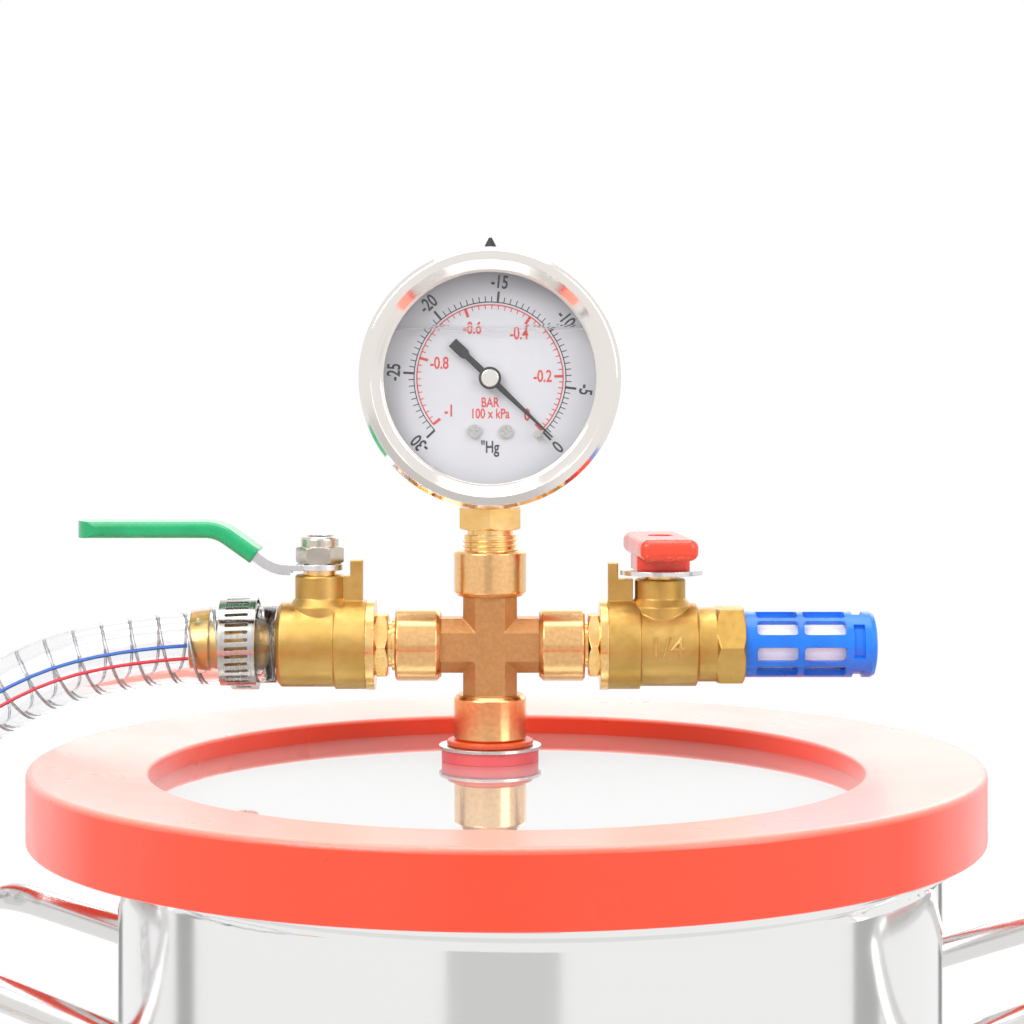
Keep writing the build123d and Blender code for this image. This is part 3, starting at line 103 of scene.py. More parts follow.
class Finish:
    """A Principled material that is built up step by step."""

    def __init__(self, name, colour, metallic=0.0, roughness=0.4, **settings):
        self.material = bpy.data.materials.new(name)
        self.material.use_nodes = True
        self.tree = self.material.node_tree
        self.shader = self.tree.nodes["Principled BSDF"]
        self.shader.inputs["Base Color"].default_value = (*colour, 1.0)
        self.shader.inputs["Metallic"].default_value = metallic
        self.shader.inputs["Roughness"].default_value = roughness
        for key, value in settings.items():
            self.shader.inputs[key.replace("_", " ")].default_value = value
        self.normal = None

    def link(self, source, target):
        """Joins an output socket to an input socket."""
        self.tree.links.new(source, target)

    def add(self, kind, **settings):
        """A new node with its settings."""
        node = self.tree.nodes.new(kind)
        for key, value in settings.items():
            setattr(node, key, value)
        return node

    def maths(self, operation, *values):
        """One step of arithmetic on sockets or numbers."""
        node = self.add("ShaderNodeMath", operation=operation)
        for socket, value in zip(node.inputs, values):
            if isinstance(value, float):
                socket.default_value = value
            else:
                self.link(value, socket)
        return node.outputs["Value"]

    def bloom(self, side, top):
        """Painted sheen: one colour on upright faces that pales to another on upward ones, standing
        in for the glancing reflection of the bright surroundings on the top.
        """
        facing = self.add("ShaderNodeNewGeometry")
        split = self.add("ShaderNodeSeparateXYZ")
        self.link(facing.outputs["Normal"], split.inputs["Vector"])
        share = self.spread(split.outputs["Z"], 0.0, 1.0, 0.05, 0.9)
        colour = self.add("ShaderNodeMix", data_type="RGBA")
        self.link(share, colour.inputs["Factor"])
        colour.inputs["A"].default_value = (*side, 1.0)
        colour.inputs["B"].default_value = (*top, 1.0)
        self.link(colour.outputs["Result"], self.shader.inputs["Base Color"])
        return self

    def clear_shadow(self, level=0.96):
        """Lets light through to what lies behind."""
        path = self.add("ShaderNodeLightPath")
        clear = self.add("ShaderNodeBsdfTransparent")
        clear.inputs["Color"].default_value = (level, level, level, 1.0)
        mix = self.add("ShaderNodeMixShader")
        self.link(path.outputs["Is Shadow Ray"], mix.inputs["Fac"])
        self.link(self.shader.outputs["BSDF"], mix.inputs[1])
        self.link(clear.outputs["BSDF"], mix.inputs[2])
        self.link(mix.outputs["Shader"], self.tree.nodes["Material Output"].inputs["Surface"])
        return self

    def zones(self, centre, edge, inner, outer):
        """Two finishes, each a colour, a roughness and a bump, inside and outside an edge.

        The edge is a square round the centre in X and Z.
        """
        place = self.add("ShaderNodeTexCoord")
        split = self.add("ShaderNodeSeparateXYZ")
        self.link(place.outputs["Object"], split.inputs["Vector"])
        across = self.maths("ABSOLUTE", self.maths("SUBTRACT", split.outputs["X"], centre.x))
        upward = self.maths("ABSOLUTE", self.maths("SUBTRACT", split.outputs["Z"], centre.z))
        reach = self.maths("MAXIMUM", across, upward)
        side = self.spread(reach, 0.0, 1.0, edge - ZONE_EDGE, edge + ZONE_EDGE)
        colour = self.add("ShaderNodeMix", data_type="RGBA")
        self.link(side, colour.inputs["Factor"])
        colour.inputs["A"].default_value = (*inner[0], 1.0)
        colour.inputs["B"].default_value = (*outer[0], 1.0)
        mottle = self.add("ShaderNodeMix", data_type="RGBA", blend_type="MULTIPLY")
        mottle.inputs["Factor"].default_value = ZONE_MOTTLE
        grain = self.spread(self.noise(ZONE_GRAIN, detail=4.0), 0.72, 1.1)
        shade = self.add("ShaderNodeCombineColor")
        for channel in ("Red", "Green", "Blue"):
            self.link(grain, shade.inputs[channel])
        self.link(colour.outputs["Result"], mottle.inputs["A"])
        self.link(shade.outputs["Color"], mottle.inputs["B"])
        self.link(mottle.outputs["Result"], self.shader.inputs["Base Color"])
        self.link(self.spread(side, inner[1], outer[1], 0.0, 1.0), self.shader.inputs["Roughness"])
        depth = self.spread(side, inner[2], outer[2], 0.0, 1.0)
        bump = self.add("ShaderNodeBump")
        bump.inputs["Distance"].default_value = ZONE_BUMP_DEPTH
        self.link(depth, bump.inputs["Strength"])
        self.link(self.noise(ZONE_BUMP_GRAIN, detail=4.0), bump.inputs["Height"])
        if self.normal:
            self.link(self.normal, bump.inputs["Normal"])
        self.link(bump.outputs["Normal"], self.shader.inputs["Normal"])
        return self

    def noise(self, scale, detail=3.0, stretch=(1.0, 1.0, 1.0), roughness=0.55):
        """Noise in object space, in cells per metre, stretched by axis."""
        place = self.add("ShaderNodeTexCoord")
        mapping = self.add("ShaderNodeMapping")
        mapping.inputs["Scale"].default_value = stretch
        texture = self.add("ShaderNodeTexNoise")
        texture.inputs["Scale"].default_value = scale
        texture.inputs["Detail"].default_value = detail
        texture.inputs["Roughness"].default_value = roughness
        self.link(place.outputs["Object"], mapping.inputs["Vector"])
        self.link(mapping.outputs["Vector"], texture.inputs["Vector"])
        return texture.outputs["Fac"]

    def spread(self, source, low, high, start=0.35, end=0.65):
        """Maps a source from start to end onto low to high."""
        node = self.add("ShaderNodeMapRange")
        node.inputs["From Min"].default_value = start
        node.inputs["From Max"].default_value = end
        node.inputs["To Min"].default_value = low
        node.inputs["To Max"].default_value = high
        self.link(source, node.inputs["Value"])
        return node.outputs["Result"]

    def rough(self, scale, low, high, **how):
        """Roughness that wanders between two values."""
        self.link(self.spread(self.noise(scale, **how), low, high), self.shader.inputs["Roughness"])
        return self

    def tint(self, scale, first, second, start=0.35, end=0.65, **how):
        """Colour that wanders between two tones."""
        ramp = self.add("ShaderNodeValToRGB")
        ramp.color_ramp.elements[0].position = start
        ramp.color_ramp.elements[0].color = (*first, 1.0)
        ramp.color_ramp.elements[1].position = end
        ramp.color_ramp.elements[1].color = (*second, 1.0)
        self.link(self.noise(scale, **how), ramp.inputs["Fac"])
        self.link(ramp.outputs["Color"], self.shader.inputs["Base Color"])
        return self

    def soften(self, radius):
        """Rounds sharp edges in the shading."""
        node = self.add("ShaderNodeBevel", samples=4)
        node.inputs["Radius"].default_value = radius
        self.normal = node.outputs["Normal"]
        self.link(self.normal, self.shader.inputs["Normal"])
        return self

    def bump(self, scale, depth, strength=0.5, **how):
        """Fine relief, over any softened edges."""
        node = self.add("ShaderNodeBump")
        node.inputs["Strength"].default_value = strength
        node.inputs["Distance"].default_value = depth
        self.link(self.noise(scale, **how), node.inputs["Height"])
        if self.normal:
            self.link(self.normal, node.inputs["Normal"])
        self.normal = node.outputs["Normal"]
        self.link(self.normal, self.shader.inputs["Normal"])
        return self


ALONG_X = (60.0, 1.0, 1.0)  # stretches grain round X
CROSS_COLLAR_AT = 0.0132  # from the middle of the cross, where its machined collars start

FINISHES = {
    "pot_steel": Finish("pot_steel", srgb(237, 237, 236), 1.0, 0.12)
    .rough(10.0, 0.09, 0.15, stretch=(1.0, 1.0, 4.0))
    .bump(5.0, 0.0004, 0.12, stretch=(1.0, 1.0, 0.6)),
    "handle_steel": Finish("handle_steel", srgb(222, 221, 220), 1.0, 0.16)
    .rough(90.0, 0.12, 0.24)
    .bump(300.0, 0.00003, 0.2),
    "seal_silicone": Finish(
        "seal_silicone",
        srgb(255, 70, 34),
        0.0,
        0.3,
        Subsurface_Weight=0.15,
        Subsurface_Radius=(0.012, 0.004, 0.002),
        Subsurface_Scale=0.3,
        Specular_IOR_Level=0.5,
        Coat_Weight=0.35,
        Coat_Roughness=0.22,
        Sheen_Weight=0.35,
        Sheen_Roughness=0.4,
    )
    # painted sheen: the seal's upward faces are paled in place of the glancing reflection on its
    # top
    .bloom(srgb(252, 62, 24), srgb(255, 148, 130))
    .rough(40.0, 0.27, 0.36)
    .bump(60.0, 0.0001, 0.15),
    "lid_glass": Finish(
        "lid_glass",
        srgb(248, 250, 249),
        0.0,
        0.0,
        Transmission_Weight=0.72,
        IOR=1.6,
        Coat_Weight=1.0,
        Coat_IOR=2.0,
    )
    .bump(6.0, 0.00002, 0.05)
    .clear_shadow(),
    "gasket_red": Finish("gasket_red", srgb(228, 92, 96), 0.0, 0.42)
    .rough(300.0, 0.34, 0.5)
    .soften(0.0004)
    .bump(900.0, 0.00004, 0.3),
    "o_ring_orange": Finish("o_ring_orange", srgb(214, 80, 36), 0.0, 0.35)
    .rough(300.0, 0.3, 0.42)
    .bump(900.0, 0.00004, 0.2),
    "washer_steel": Finish("washer_steel", srgb(205, 204, 202), 1.0, 0.28)
    .rough(200.0, 0.2, 0.36)
    .soften(0.0002),
    "brass_cross": Finish("brass_cross", srgb(222, 160, 96), 1.0, 0.25)
    .soften(0.0005)
    .zones(
        port,
        CROSS_COLLAR_AT,
        (srgb(198, 146, 96), 0.46, 0.75),
        (srgb(240, 190, 132), 0.2, 0.06),
    ),
    "brass_cast": Finish("brass_cast", srgb(196, 156, 86), 1.0, 0.42)
    .tint(90.0, srgb(188, 148, 76), srgb(204, 166, 98))
    .rough(500.0, 0.34, 0.48)
    .soften(0.0006)
    .bump(1600.0, 0.00008, 0.3),
    "brass_bright": Finish("brass_bright", srgb(240, 196, 128), 1.0, 0.2)
    .tint(140.0, srgb(234, 188, 116), srgb(246, 206, 142))
    .rough(300.0, 0.14, 0.28)
    .soften(0.0003)
    .bump(1200.0, 0.00003, 0.25),
    "ptfe": Finish("ptfe", srgb(238, 238, 236), 0.0, 0.45).rough(200.0, 0.4, 0.5),
    "ball_chrome": Finish("ball_chrome", srgb(222, 222, 224), 1.0, 0.08).rough(90.0, 0.05, 0.12),
    "stem_brass": Finish("stem_brass", srgb(214, 176, 104), 1.0, 0.28)
    .rough(300.0, 0.22, 0.36)
    .soften(0.0002),
    "lever_steel": Finish("lever_steel", srgb(222, 222, 224), 1.0, 0.26)
    .rough(220.0, 0.2, 0.34)
    .soften(0.0004)
    .bump(900.0, 0.00003, 0.25),
    "grip_green": Finish(
        "grip_green", srgb(0, 158, 98), 0.0, 0.24, Coat_Weight=0.35, Coat_Roughness=0.12
    )
    .tint(60.0, srgb(0, 150, 90), srgb(6, 168, 106))
    .rough(200.0, 0.2, 0.3)
    .soften(0.0008)
    .bump(260.0, 0.00012, 0.25),
    "nut_steel": Finish("nut_steel", srgb(206, 196, 184), 1.0, 0.2)
    .rough(300.0, 0.14, 0.28)
    .soften(0.0003),
    "nylon_blue": Finish("nylon_blue", srgb(24, 62, 140), 0.0, 0.3).rough(300.0, 0.25, 0.38),
    "disc_steel": Finish("disc_steel", srgb(224, 223, 222), 1.0, 0.14)
    .rough(240.0, 0.1, 0.2)
    .soften(0.0003),
    "wings_red": Finish(
        "wings_red",
        srgb(228, 66, 36),
        0.0,
        0.26,
        Coat_Weight=0.35,
        Coat_Roughness=0.1,
        Subsurface_Weight=0.12,
        Subsurface_Radius=(0.006, 0.002, 0.001),
        Subsurface_Scale=0.3,
    )
    .rough(200.0, 0.2, 0.34)
    .soften(0.0012)
    .bump(300.0, 0.0001, 0.25),
    "screw_steel": Finish("screw_steel", srgb(200, 198, 194), 1.0, 0.26)
    .rough(500.0, 0.2, 0.34)
    .soften(0.00015),
    "silencer_blue": Finish(
        "silencer_blue", srgb(0, 112, 226), 0.0, 0.32, Coat_Weight=0.15, Coat_Roughness=0.2
    )
    .tint(80.0, srgb(0, 106, 218), srgb(4, 120, 234))
    .rough(260.0, 0.27, 0.38)
    .soften(0.0004)
    .bump(700.0, 0.00004, 0.25),
    "filter_white": Finish("filter_white", srgb(252, 250, 249), 0.0, 0.85).bump(
        2600.0, 0.00012, 0.5
    ),
    "gauge_steel": Finish("gauge_steel", srgb(234, 228, 223), 1.0, 0.1)
    .rough(70.0, 0.07, 0.15, stretch=(1, 30, 1))
    .soften(0.0004),
    "gauge_glass": Finish(
        "gauge_glass", srgb(252, 253, 253), 0.0, 0.0, Transmission_Weight=1.0, IOR=1.45
    )
    .bump(8.0, 0.00001, 0.05)
    .clear_shadow(),
    "dial_white": Finish("dial_white", srgb(200, 199, 204), 0.0, 0.5)
    .tint(30.0, srgb(198, 197, 202), srgb(203, 202, 207))
    .rough(200.0, 0.45, 0.55),
    "needle_black": Finish("needle_black", srgb(16, 16, 17), 0.0, 0.45).rough(300.0, 0.4, 0.5),
    "rubber_black": Finish("rubber_black", srgb(26, 26, 27), 0.0, 0.5)
    .rough(300.0, 0.4, 0.6)
    .soften(0.0004)
    .bump(900.0, 0.00005, 0.3),
    "clamp_steel": Finish("clamp_steel", srgb(196, 192, 188), 1.0, 0.22)
    .rough(60.0, 0.14, 0.3, stretch=ALONG_X)
    .soften(0.0002)
    .bump(500.0, 0.00003, 0.25),
    "hose_clear": Finish(
        "hose_clear", srgb(250, 250, 251), 0.0, 0.05, Transmission_Weight=1.0, IOR=1.42
    )
    .bump(90.0, 0.00004, 0.12)
    .clear_shadow(0.9),
    "strap_black": Finish("strap_black", srgb(24, 24, 26), 0.0, 0.8).bump(1800.0, 0.0002, 0.6),
}

spiral_steel = Finish("spiral_steel", srgb(186, 186, 188), 0.6, 0.35).rough(400.0, 0.2, 0.36)
stripe_blue = Finish("stripe_blue", srgb(46, 106, 196), 0.0, 0.4).rough(200.0, 0.35, 0.45)
stripe_red = Finish("stripe_red", srgb(226, 52, 70), 0.0, 0.4).rough(200.0, 0.35, 0.45)
print_black = Finish("print_black", srgb(26, 27, 29), 0.0, 0.5).rough(200.0, 0.45, 0.55)
print_red = Finish("print_red", srgb(206, 58, 52), 0.0, 0.5).rough(200.0, 0.45, 0.55)
gauge_fluid = (
    Finish("gauge_fluid", srgb(250, 250, 250), 0.0, 0.02, Transmission_Weight=1.0, IOR=1.12)
    .bump(30.0, 0.00003, 0.1)
    .clear_shadow()
)

for entry in frame["record"]["subparts"]:
    node = nodes[entry["node"]]
    node.data.materials.clear()
    node.data.materials.append(FINISHES[entry["material_slot"]].material)


# ------------------------------------------------------------------ mesh helpers


def mesh_piece(name, vertices, faces, finish, body=None, smooth=True):
    """A new mesh object in the row frame."""
    mesh = bpy.data.meshes.new(name)
    mesh.from_pydata([tuple(v) for v in vertices], [], faces)
    mesh.update()
    if smooth:
        mesh.polygons.foreach_set("use_smooth", [True] * len(mesh.polygons))
    mesh.materials.append(finish.material)
    piece = bpy.data.objects.new(name, mesh)
    bpy.context.scene.collection.objects.link(piece)
    if body:
        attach(piece, body)
    return piece


def mesh_of(curve):
    """The mesh that Blender makes of a curve or letters."""
    holder = bpy.data.objects.new(curve.name, curve)
    bpy.context.scene.collection.objects.link(holder)
    mesh = bpy.data.meshes.new_from_object(holder)
    bpy.data.objects.remove(holder)
    return mesh


def letters(words, size):
    """Blender's own plain letters, centred on the origin."""
    curve = bpy.data.curves.new("letters", "FONT")
    curve.body = words
    curve.align_x, curve.align_y = "CENTER", "CENTER"
    curve.size = size
    return curve


def rings_mesh(rings, closed_ends=True):
    """Vertices and faces of a tube through equal rings of points."""
    count = len(rings[0])
    vertices = [p for ring in rings for p in ring]
    faces = []
    for i in range(len(rings) - 1):
        for j in range(count):
            k = (j + 1) % count
            faces.append((i * count + j, i * count + k, (i + 1) * count + k, (i + 1) * count + j))
    if closed_ends:
        faces.append(tuple(range(count))[::-1])
        last = (len(rings) - 1) * count
        faces.append(tuple(range(last, last + count)))
    return vertices, faces


class Line:
    """Points along a curve with a frame that doesn't twist, read from a spline."""

    def __init__(self, points):
        self.points = points
        self.tangents = []
        for i in range(len(points)):
            before, after = points[max(i - 1, 0)], points[min(i + 1, len(points) - 1)]
            self.tangents.append((after - before).normalized())
        side = Vector((0.0, -1.0, 0.0))
        self.sides = []
        for tangent in self.tangents:
            side = (side - tangent * side.dot(tangent)).normalized()
            self.sides.append(side)
        self.along = [0.0]
        for a, b in zip(points, points[1:]):
            self.along.append(self.along[-1] + (b - a).length)
        self.length = self.along[-1]

    def at(self, distance):
        """Point, tangent, side and up at a distance along the line."""
        distance = min(max(distance, 0.0), self.length)
        low, high = 0, len(self.along) - 1
        while high - low > 1:
            half = (low + high) // 2
            if self.along[half] <= distance:
                low = half
            else:
                high = half
        share = (distance - self.along[low]) / (self.along[high] - self.along[low])
        point = self.points[low].lerp(self.points[high], share)
        tangent = self.tangents[low].lerp(self.tangents[high], share).normalized()
        side = self.sides[low].lerp(self.sides[high], share)
        side = (side - tangent * side.dot(tangent)).normalized()
        return point, tangent, side, tangent.cross(side)

    def around(self, distance, radius, angle):
        """A point on a circle round the line: angle 0 is the side facing the front."""
        point, _, side, up = self.at(distance)
        return point + side * (radius * cos(angle)) + up * (radius * sin(angle))


def spline_line(name, points, resolution=8):
    """The line that a NURBS spline makes of its control points."""
    curve = bpy.data.curves.new(name, "CURVE")
    curve.dimensions = "3D"
    curve.resolution_u = resolution
    spline = curve.splines.new("NURBS")
    spline.points.add(len(points) - 1)
    for control, place in zip(spline.points, points):
        control.co = (*place, 1.0)
    spline.order_u = 3
    spline.use_endpoint_u = True
    return Line([v.co.copy() for v in mesh_of(curve).vertices])


# ------------------------------------------------------------------ hose

ROUTE = [  # the hose's bends from part.py, in the plane of the port
    (-0.0668, 0.2310),
    (-0.1100, 0.2310),
    (-0.1500, 0.2130),
    (-0.1800, 0.1805),
    (-0.1980, 0.1280),
    (-0.2105, 0.0840),
    (-0.2405, 0.0490),
    (-0.2820, 0.02965),
    (-0.3280, 0.02965),
]
HOSE_R = 0.00925
HOSE_BORE_R = 0.00635
CUFF_R = 0.01015
CUFF_LENGTH = 0.019
CUFF_TAPER = 0.004
COIL_R = 0.100
COIL_STEP = 24.0  # degrees between a turn's control points
TOP_Z = 0.02965
FLOOR_Z = 0.01085
TOP_TURN = 200.0
RAMP_TURN = 90.0
WHOLE_TURN = 540.0
TAIL = 0.082
HOSE_SIDES = 32
HOSE_STEP = 0.004

SPIRAL_PITCH = 0.0072
SPIRAL_WIRE_R = 0.00042
SPIRAL_SIDES = 6
SPIRAL_STEPS_PER_TURN = 18

STRIPE_INSET = 0.0006
STRIPE_WIDTH = 0.0009
STRIPE_HALF_DEPTH = 0.0002
STRIPE_STEP = 0.006
STRIPE_START = 0.0225  # past the barb
STRIPE_END_GAP = 0.0015
STRIPE_DRIFT = 0.6  # radians round the hose per metre


def coil_points(centre):
    """Control points of the coil: an upper turn, a ramp down and a lower turn."""
    reach = COIL_R / cos(radians(COIL_STEP / 2))
    points = []
    steps = ceil(WHOLE_TURN / COIL_STEP)
    for i in range(1, steps):
        turned = WHOLE_TURN * i / steps
        down = min(max((turned - TOP_TURN) / RAMP_TURN, 0.0), 1.0)
        angle = radians(90.0 + turned)
        height = TOP_Z + (FLOOR_Z - TOP_Z) * down
        points.append((centre.x + reach * cos(angle), centre.y + reach * sin(angle), height))
    points.append((centre.x + TAIL * 0.02, centre.y - COIL_R, FLOOR_Z))
    points.append((centre.x + TAIL * 0.5, centre.y - COIL_R, FLOOR_Z))
    points.append((centre.x + TAIL, centre.y - COIL_R, FLOOR_Z))
    return points


coil_centre = Vector((ROUTE[-1][0], port.y - COIL_R, 0.0))
hose_controls = [(x, port.y, z) for x, z in ROUTE] + coil_points(coil_centre)
hose_line = spline_line("hose_route", hose_controls)


def hose_radius(distance):
    """The wall is spread over the barb and settles behind it."""
    share = min(max((distance - CUFF_LENGTH) / CUFF_TAPER, 0.0), 1.0)
    return CUFF_R + (HOSE_R - CUFF_R) * share * share * (3 - 2 * share)


def tube_rings(line, radius_at, step, sides):
    """Rings of points round a line, a step apart."""
    count = ceil(line.length / step)
    rings = []
    for i in range(count + 1):
        distance = line.length * i / count
        radius = radius_at(distance)
        rings.append([line.around(distance, radius, 2 * pi * j / sides) for j in range(sides)])
    return rings


def hose_wall():
    """Outer skin and bore, joined at both ends."""
    thick = HOSE_R - HOSE_BORE_R

    def wall(radius_at):
        return tube_rings(hose_line, radius_at, HOSE_STEP, HOSE_SIDES)

    rings = wall(hose_radius) + wall(lambda distance: hose_radius(distance) - thick)[::-1]
    vertices, faces = rings_mesh(rings, closed_ends=False)
    last = (len(rings) - 1) * HOSE_SIDES
    for j in range(HOSE_SIDES):
        k = (j + 1) % HOSE_SIDES
        faces.append((last + j, last + k, k, j))
    return mesh_piece("hose_wall", vertices, faces, FINISHES["hose_clear"])


def hose_spiral():
    """The steel wire wound inside the wall."""
    steps = int(hose_line.length / SPIRAL_PITCH * SPIRAL_STEPS_PER_TURN)
    inset = (HOSE_R - HOSE_BORE_R) / 2
    places = []
    for i in range(steps + 1):
        distance = hose_line.length * (0.002 + 0.996 * i / steps)
        angle = 2 * pi * distance / SPIRAL_PITCH
        places.append(hose_line.around(distance, hose_radius(distance) - inset, angle))
    wire_line = Line(places)
    step = wire_line.length / steps
    rings = tube_rings(wire_line, lambda distance: SPIRAL_WIRE_R, step, SPIRAL_SIDES)
    vertices, faces = rings_mesh(rings)
    return mesh_piece("hose_spiral", vertices, faces, spiral_steel)


def hose_stripe(name, angle, finish):
    """A thin coloured thread in the wall, wandering slowly round it."""
    count = int(hose_line.length / STRIPE_STEP)
    reach = hose_line.length - STRIPE_START - STRIPE_END_GAP
    rings = []
    for i in range(count + 1):
        distance = STRIPE_START + reach * i / count
        middle_angle = angle + STRIPE_DRIFT * distance
        radius = hose_radius(distance) - STRIPE_INSET
        half = STRIPE_WIDTH / radius / 2
        deep = STRIPE_HALF_DEPTH
        ring = []
        for turn, depth in ((-half, 0.0), (0.0, deep), (half, 0.0), (0.0, -deep)):
            ring.append(hose_line.around(distance, radius + depth, middle_angle + turn))
        rings.append(ring)
    vertices, faces = rings_mesh(rings)
    return mesh_piece(name, vertices, faces, finish)


hose_pieces = [
    hose_wall(),
    hose_spiral(),
    hose_stripe("hose_stripe_blue", radians(8), stripe_blue),
    hose_stripe("hose_stripe_red", radians(-14), stripe_red),
]
for piece in hose_pieces:
    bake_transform(piece)
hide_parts("hose", "hose_coil")

# ------------------------------------------------------------------ gauge print

DIAL_VIEW = 0.02775  # radius of the dial that shows
INK_LIFT = 0.00003  # the print's height over the dial
INK_BOLD = 0.02  # letters swell by this share of their size
NARROW = 0.72  # the dial's letters are narrow
ARC_STEPS = 96

BLACK_SCALE = {-30: 223.4, -25: 176.5, -20: 129.9, -15: 84.2, -10: 37.9, -5: -7.1, 0: -45.5}
RED_SCALE = {-1.0: 219.3, -0.8: 164.1, -0.6: 109.8, -0.4: 56.6, -0.2: 1.4, 0: -45.2}

# Rings and ticks of the two scales, in shares of the radius that shows
BLACK_RING, BLACK_TICK, BLACK_MAJOR, BLACK_NUMBERS = 0.722, 0.775, 0.826, 0.912
RED_RING, RED_TICK, RED_MAJOR, RED_NUMBERS = 0.695, 0.655, 0.612, 0.50
TICK_WIDTH = 0.009


class Print:
    """Flat shapes on the dial, in shares of the radius that shows."""

    def __init__(self, name, finish):
        self.name, self.finish = name, finish
        self.vertices, self.faces = [], []

    def add(self, points, faces):
        """Adds flat faces, given in the dial's own X and Z."""
        start = len(self.vertices)
        lift = dial_front - INK_LIFT
        for x, z in points:
            self.vertices.append(
                Vector((gauge.x + x * DIAL_VIEW, lift, gauge.z + z * DIAL_VIEW))
            )
        self.faces += [tuple(start + i for i in face) for face in faces]

    def arc(self, radius, width, start, end):
        """A ring's stretch between two angles in degrees."""
        points, faces = [], []
        for i in range(ARC_STEPS + 1):
            angle = radians(start + (end - start) * i / ARC_STEPS)
            for reach in (radius - width / 2, radius + width / 2):
                points.append((reach * cos(angle), reach * sin(angle)))
        for i in range(ARC_STEPS):
            faces.append((2 * i, 2 * i + 1, 2 * i + 3, 2 * i + 2))
        self.add(points, faces)

    def tick(self, angle, low, high, width):
        """A short line from one radius to another."""
        angle = radians(angle)
        out = Vector((cos(angle), sin(angle)))
        side = Vector((-out.y, out.x)) * (width / 2)
        corners = [out * low - side, out * high - side, out * high + side, out * low + side]
        self.add([tuple(c) for c in corners], [(0, 1, 2, 3)])

    def text(self, words, place, size, turn=0.0):
        """Words centred on a place and turned by degrees."""
        curve = letters(words, size)
        curve.offset = INK_BOLD * size
        mesh = mesh_of(curve)
        c, s = cos(radians(turn)), sin(radians(turn))
        points = [
            (
                place[0] + v.co.x * NARROW * c - v.co.y * s,
                place[1] + v.co.x * NARROW * s + v.co.y * c,
            )
            for v in mesh.vertices
        ]
        self.add(points, [tuple(p.vertices) for p in mesh.polygons])

    def finish_piece(self):
        """The print as one piece that rides with the lid."""
        return mesh_piece(self.name, self.vertices, self.faces, self.finish, "lid", smooth=False)


def scale_angles(scale, parts):
    """(angle, is major) for every tick of a scale, with parts ticks between majors."""
    marks = sorted(scale)
    ticks = []
    for low, high in zip(marks, marks[1:]):
        for i in range(parts):
            share = i / parts
            ticks.append((scale[low] + (scale[high] - scale[low]) * share, i == 0))
    ticks.append((scale[marks[-1]], True))
    return ticks


def dial_black():
    """Outer scale in inches of mercury."""
    ink = Print("dial_print_black", print_black)
    ink.arc(BLACK_RING, 0.010, BLACK_SCALE[0], BLACK_SCALE[-30])
    for angle, major in scale_angles(BLACK_SCALE, 10):
        if major:
            ink.tick(angle, BLACK_RING, BLACK_MAJOR, 0.022)
        else:
            ink.tick(angle, BLACK_RING, BLACK_TICK, TICK_WIDTH)
    for value, angle in BLACK_SCALE.items():
        reach = radians(angle)
        place = (BLACK_NUMBERS * cos(reach), BLACK_NUMBERS * sin(reach))
        ink.text(str(value), place, 0.175, angle - 90)
    ink.text("\"Hg", (0.0, -0.662), 0.16)
    return ink.finish_piece()


def dial_red():
    """Inner scale in bar, with the units."""
    ink = Print("dial_print_red", print_red)
    ink.arc(RED_RING, 0.012, RED_SCALE[0], RED_SCALE[-1.0])
    for angle, major in scale_angles(RED_SCALE, 10):
        if major:
            ink.tick(angle, RED_MAJOR, RED_RING, 0.026)
        else:
            ink.tick(angle, RED_TICK, RED_RING, TICK_WIDTH)
    for value, angle in RED_SCALE.items():
        reach = radians(angle)
        ink.text(f"{value:g}", (RED_NUMBERS * cos(reach), RED_NUMBERS * sin(reach)), 0.16)
    ink.text("BAR", (0.0, -0.237), 0.13)
    ink.text("100 x kPa", (0.0, -0.343), 0.13)
    return ink.finish_piece()


dial_black()
dial_red()


FLUID_LEVEL = 0.48 * DIAL_VIEW  # over the middle of the dial
FLUID_CASE_R = 0.0317  # inside of the case
FLUID_THICK = 0.0005
FLUID_CREEP = 0.0006  # how far it climbs at the window and the dial
FLUID_EDGE_CLIMB = 0.0008  # how far it climbs at the case
FLUID_SKIN = 0.0001
FLUID_STEPS = 40


def fluid_line():
    """The filling's surface, seen edge on across the dial."""
    half = sqrt(FLUID_CASE_R**2 - FLUID_LEVEL**2)
    front = Vector(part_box("gauge_window")[1]).y + 0.0001
    back = dial_front - 0.0002
    near, far = front + FLUID_CREEP, back - FLUID_CREEP
    upper = ((front, FLUID_CREEP), (near, 0.0), (far, 0.0), (back, FLUID_CREEP))
    lower = ((back, 0.0), (far, -FLUID_THICK), (near, -FLUID_THICK), (front, 0.0))
    section = [*upper, *((y, rise - FLUID_SKIN) for y, rise in lower)]
    rings = []
    for i in range(FLUID_STEPS + 1):
        x = -half + 2 * half * i / FLUID_STEPS
        from_case = 20.0 * (1 - abs(x) / half)  # 1 at a twentieth of the half width
        level = gauge.z + FLUID_LEVEL + FLUID_EDGE_CLIMB * max(0.0, 1 - from_case) ** 2
        rings.append([Vector((gauge.x + x, y, level + rise)) for y, rise in section])
    vertices, faces = rings_mesh(rings)
    return mesh_piece("gauge_fluid_surface", vertices, faces, gauge_fluid, "lid")


fluid_line()

# ------------------------------------------------------------------ threads


THREAD_R = 0.00685
THREAD_PITCH = 0.00134
THREAD_RISE = 0.00045
THREAD_ROOT = 0.0003  # how far the ridge is sunk in the shank
THREAD_FLANK = 0.0005
THREAD_CREST = 0.0001
THREAD_STEPS_PER_TURN = 36
THREAD_BELOW = 0.001  # under the top of the cross's collar
THREAD_ABOVE = 0.0037


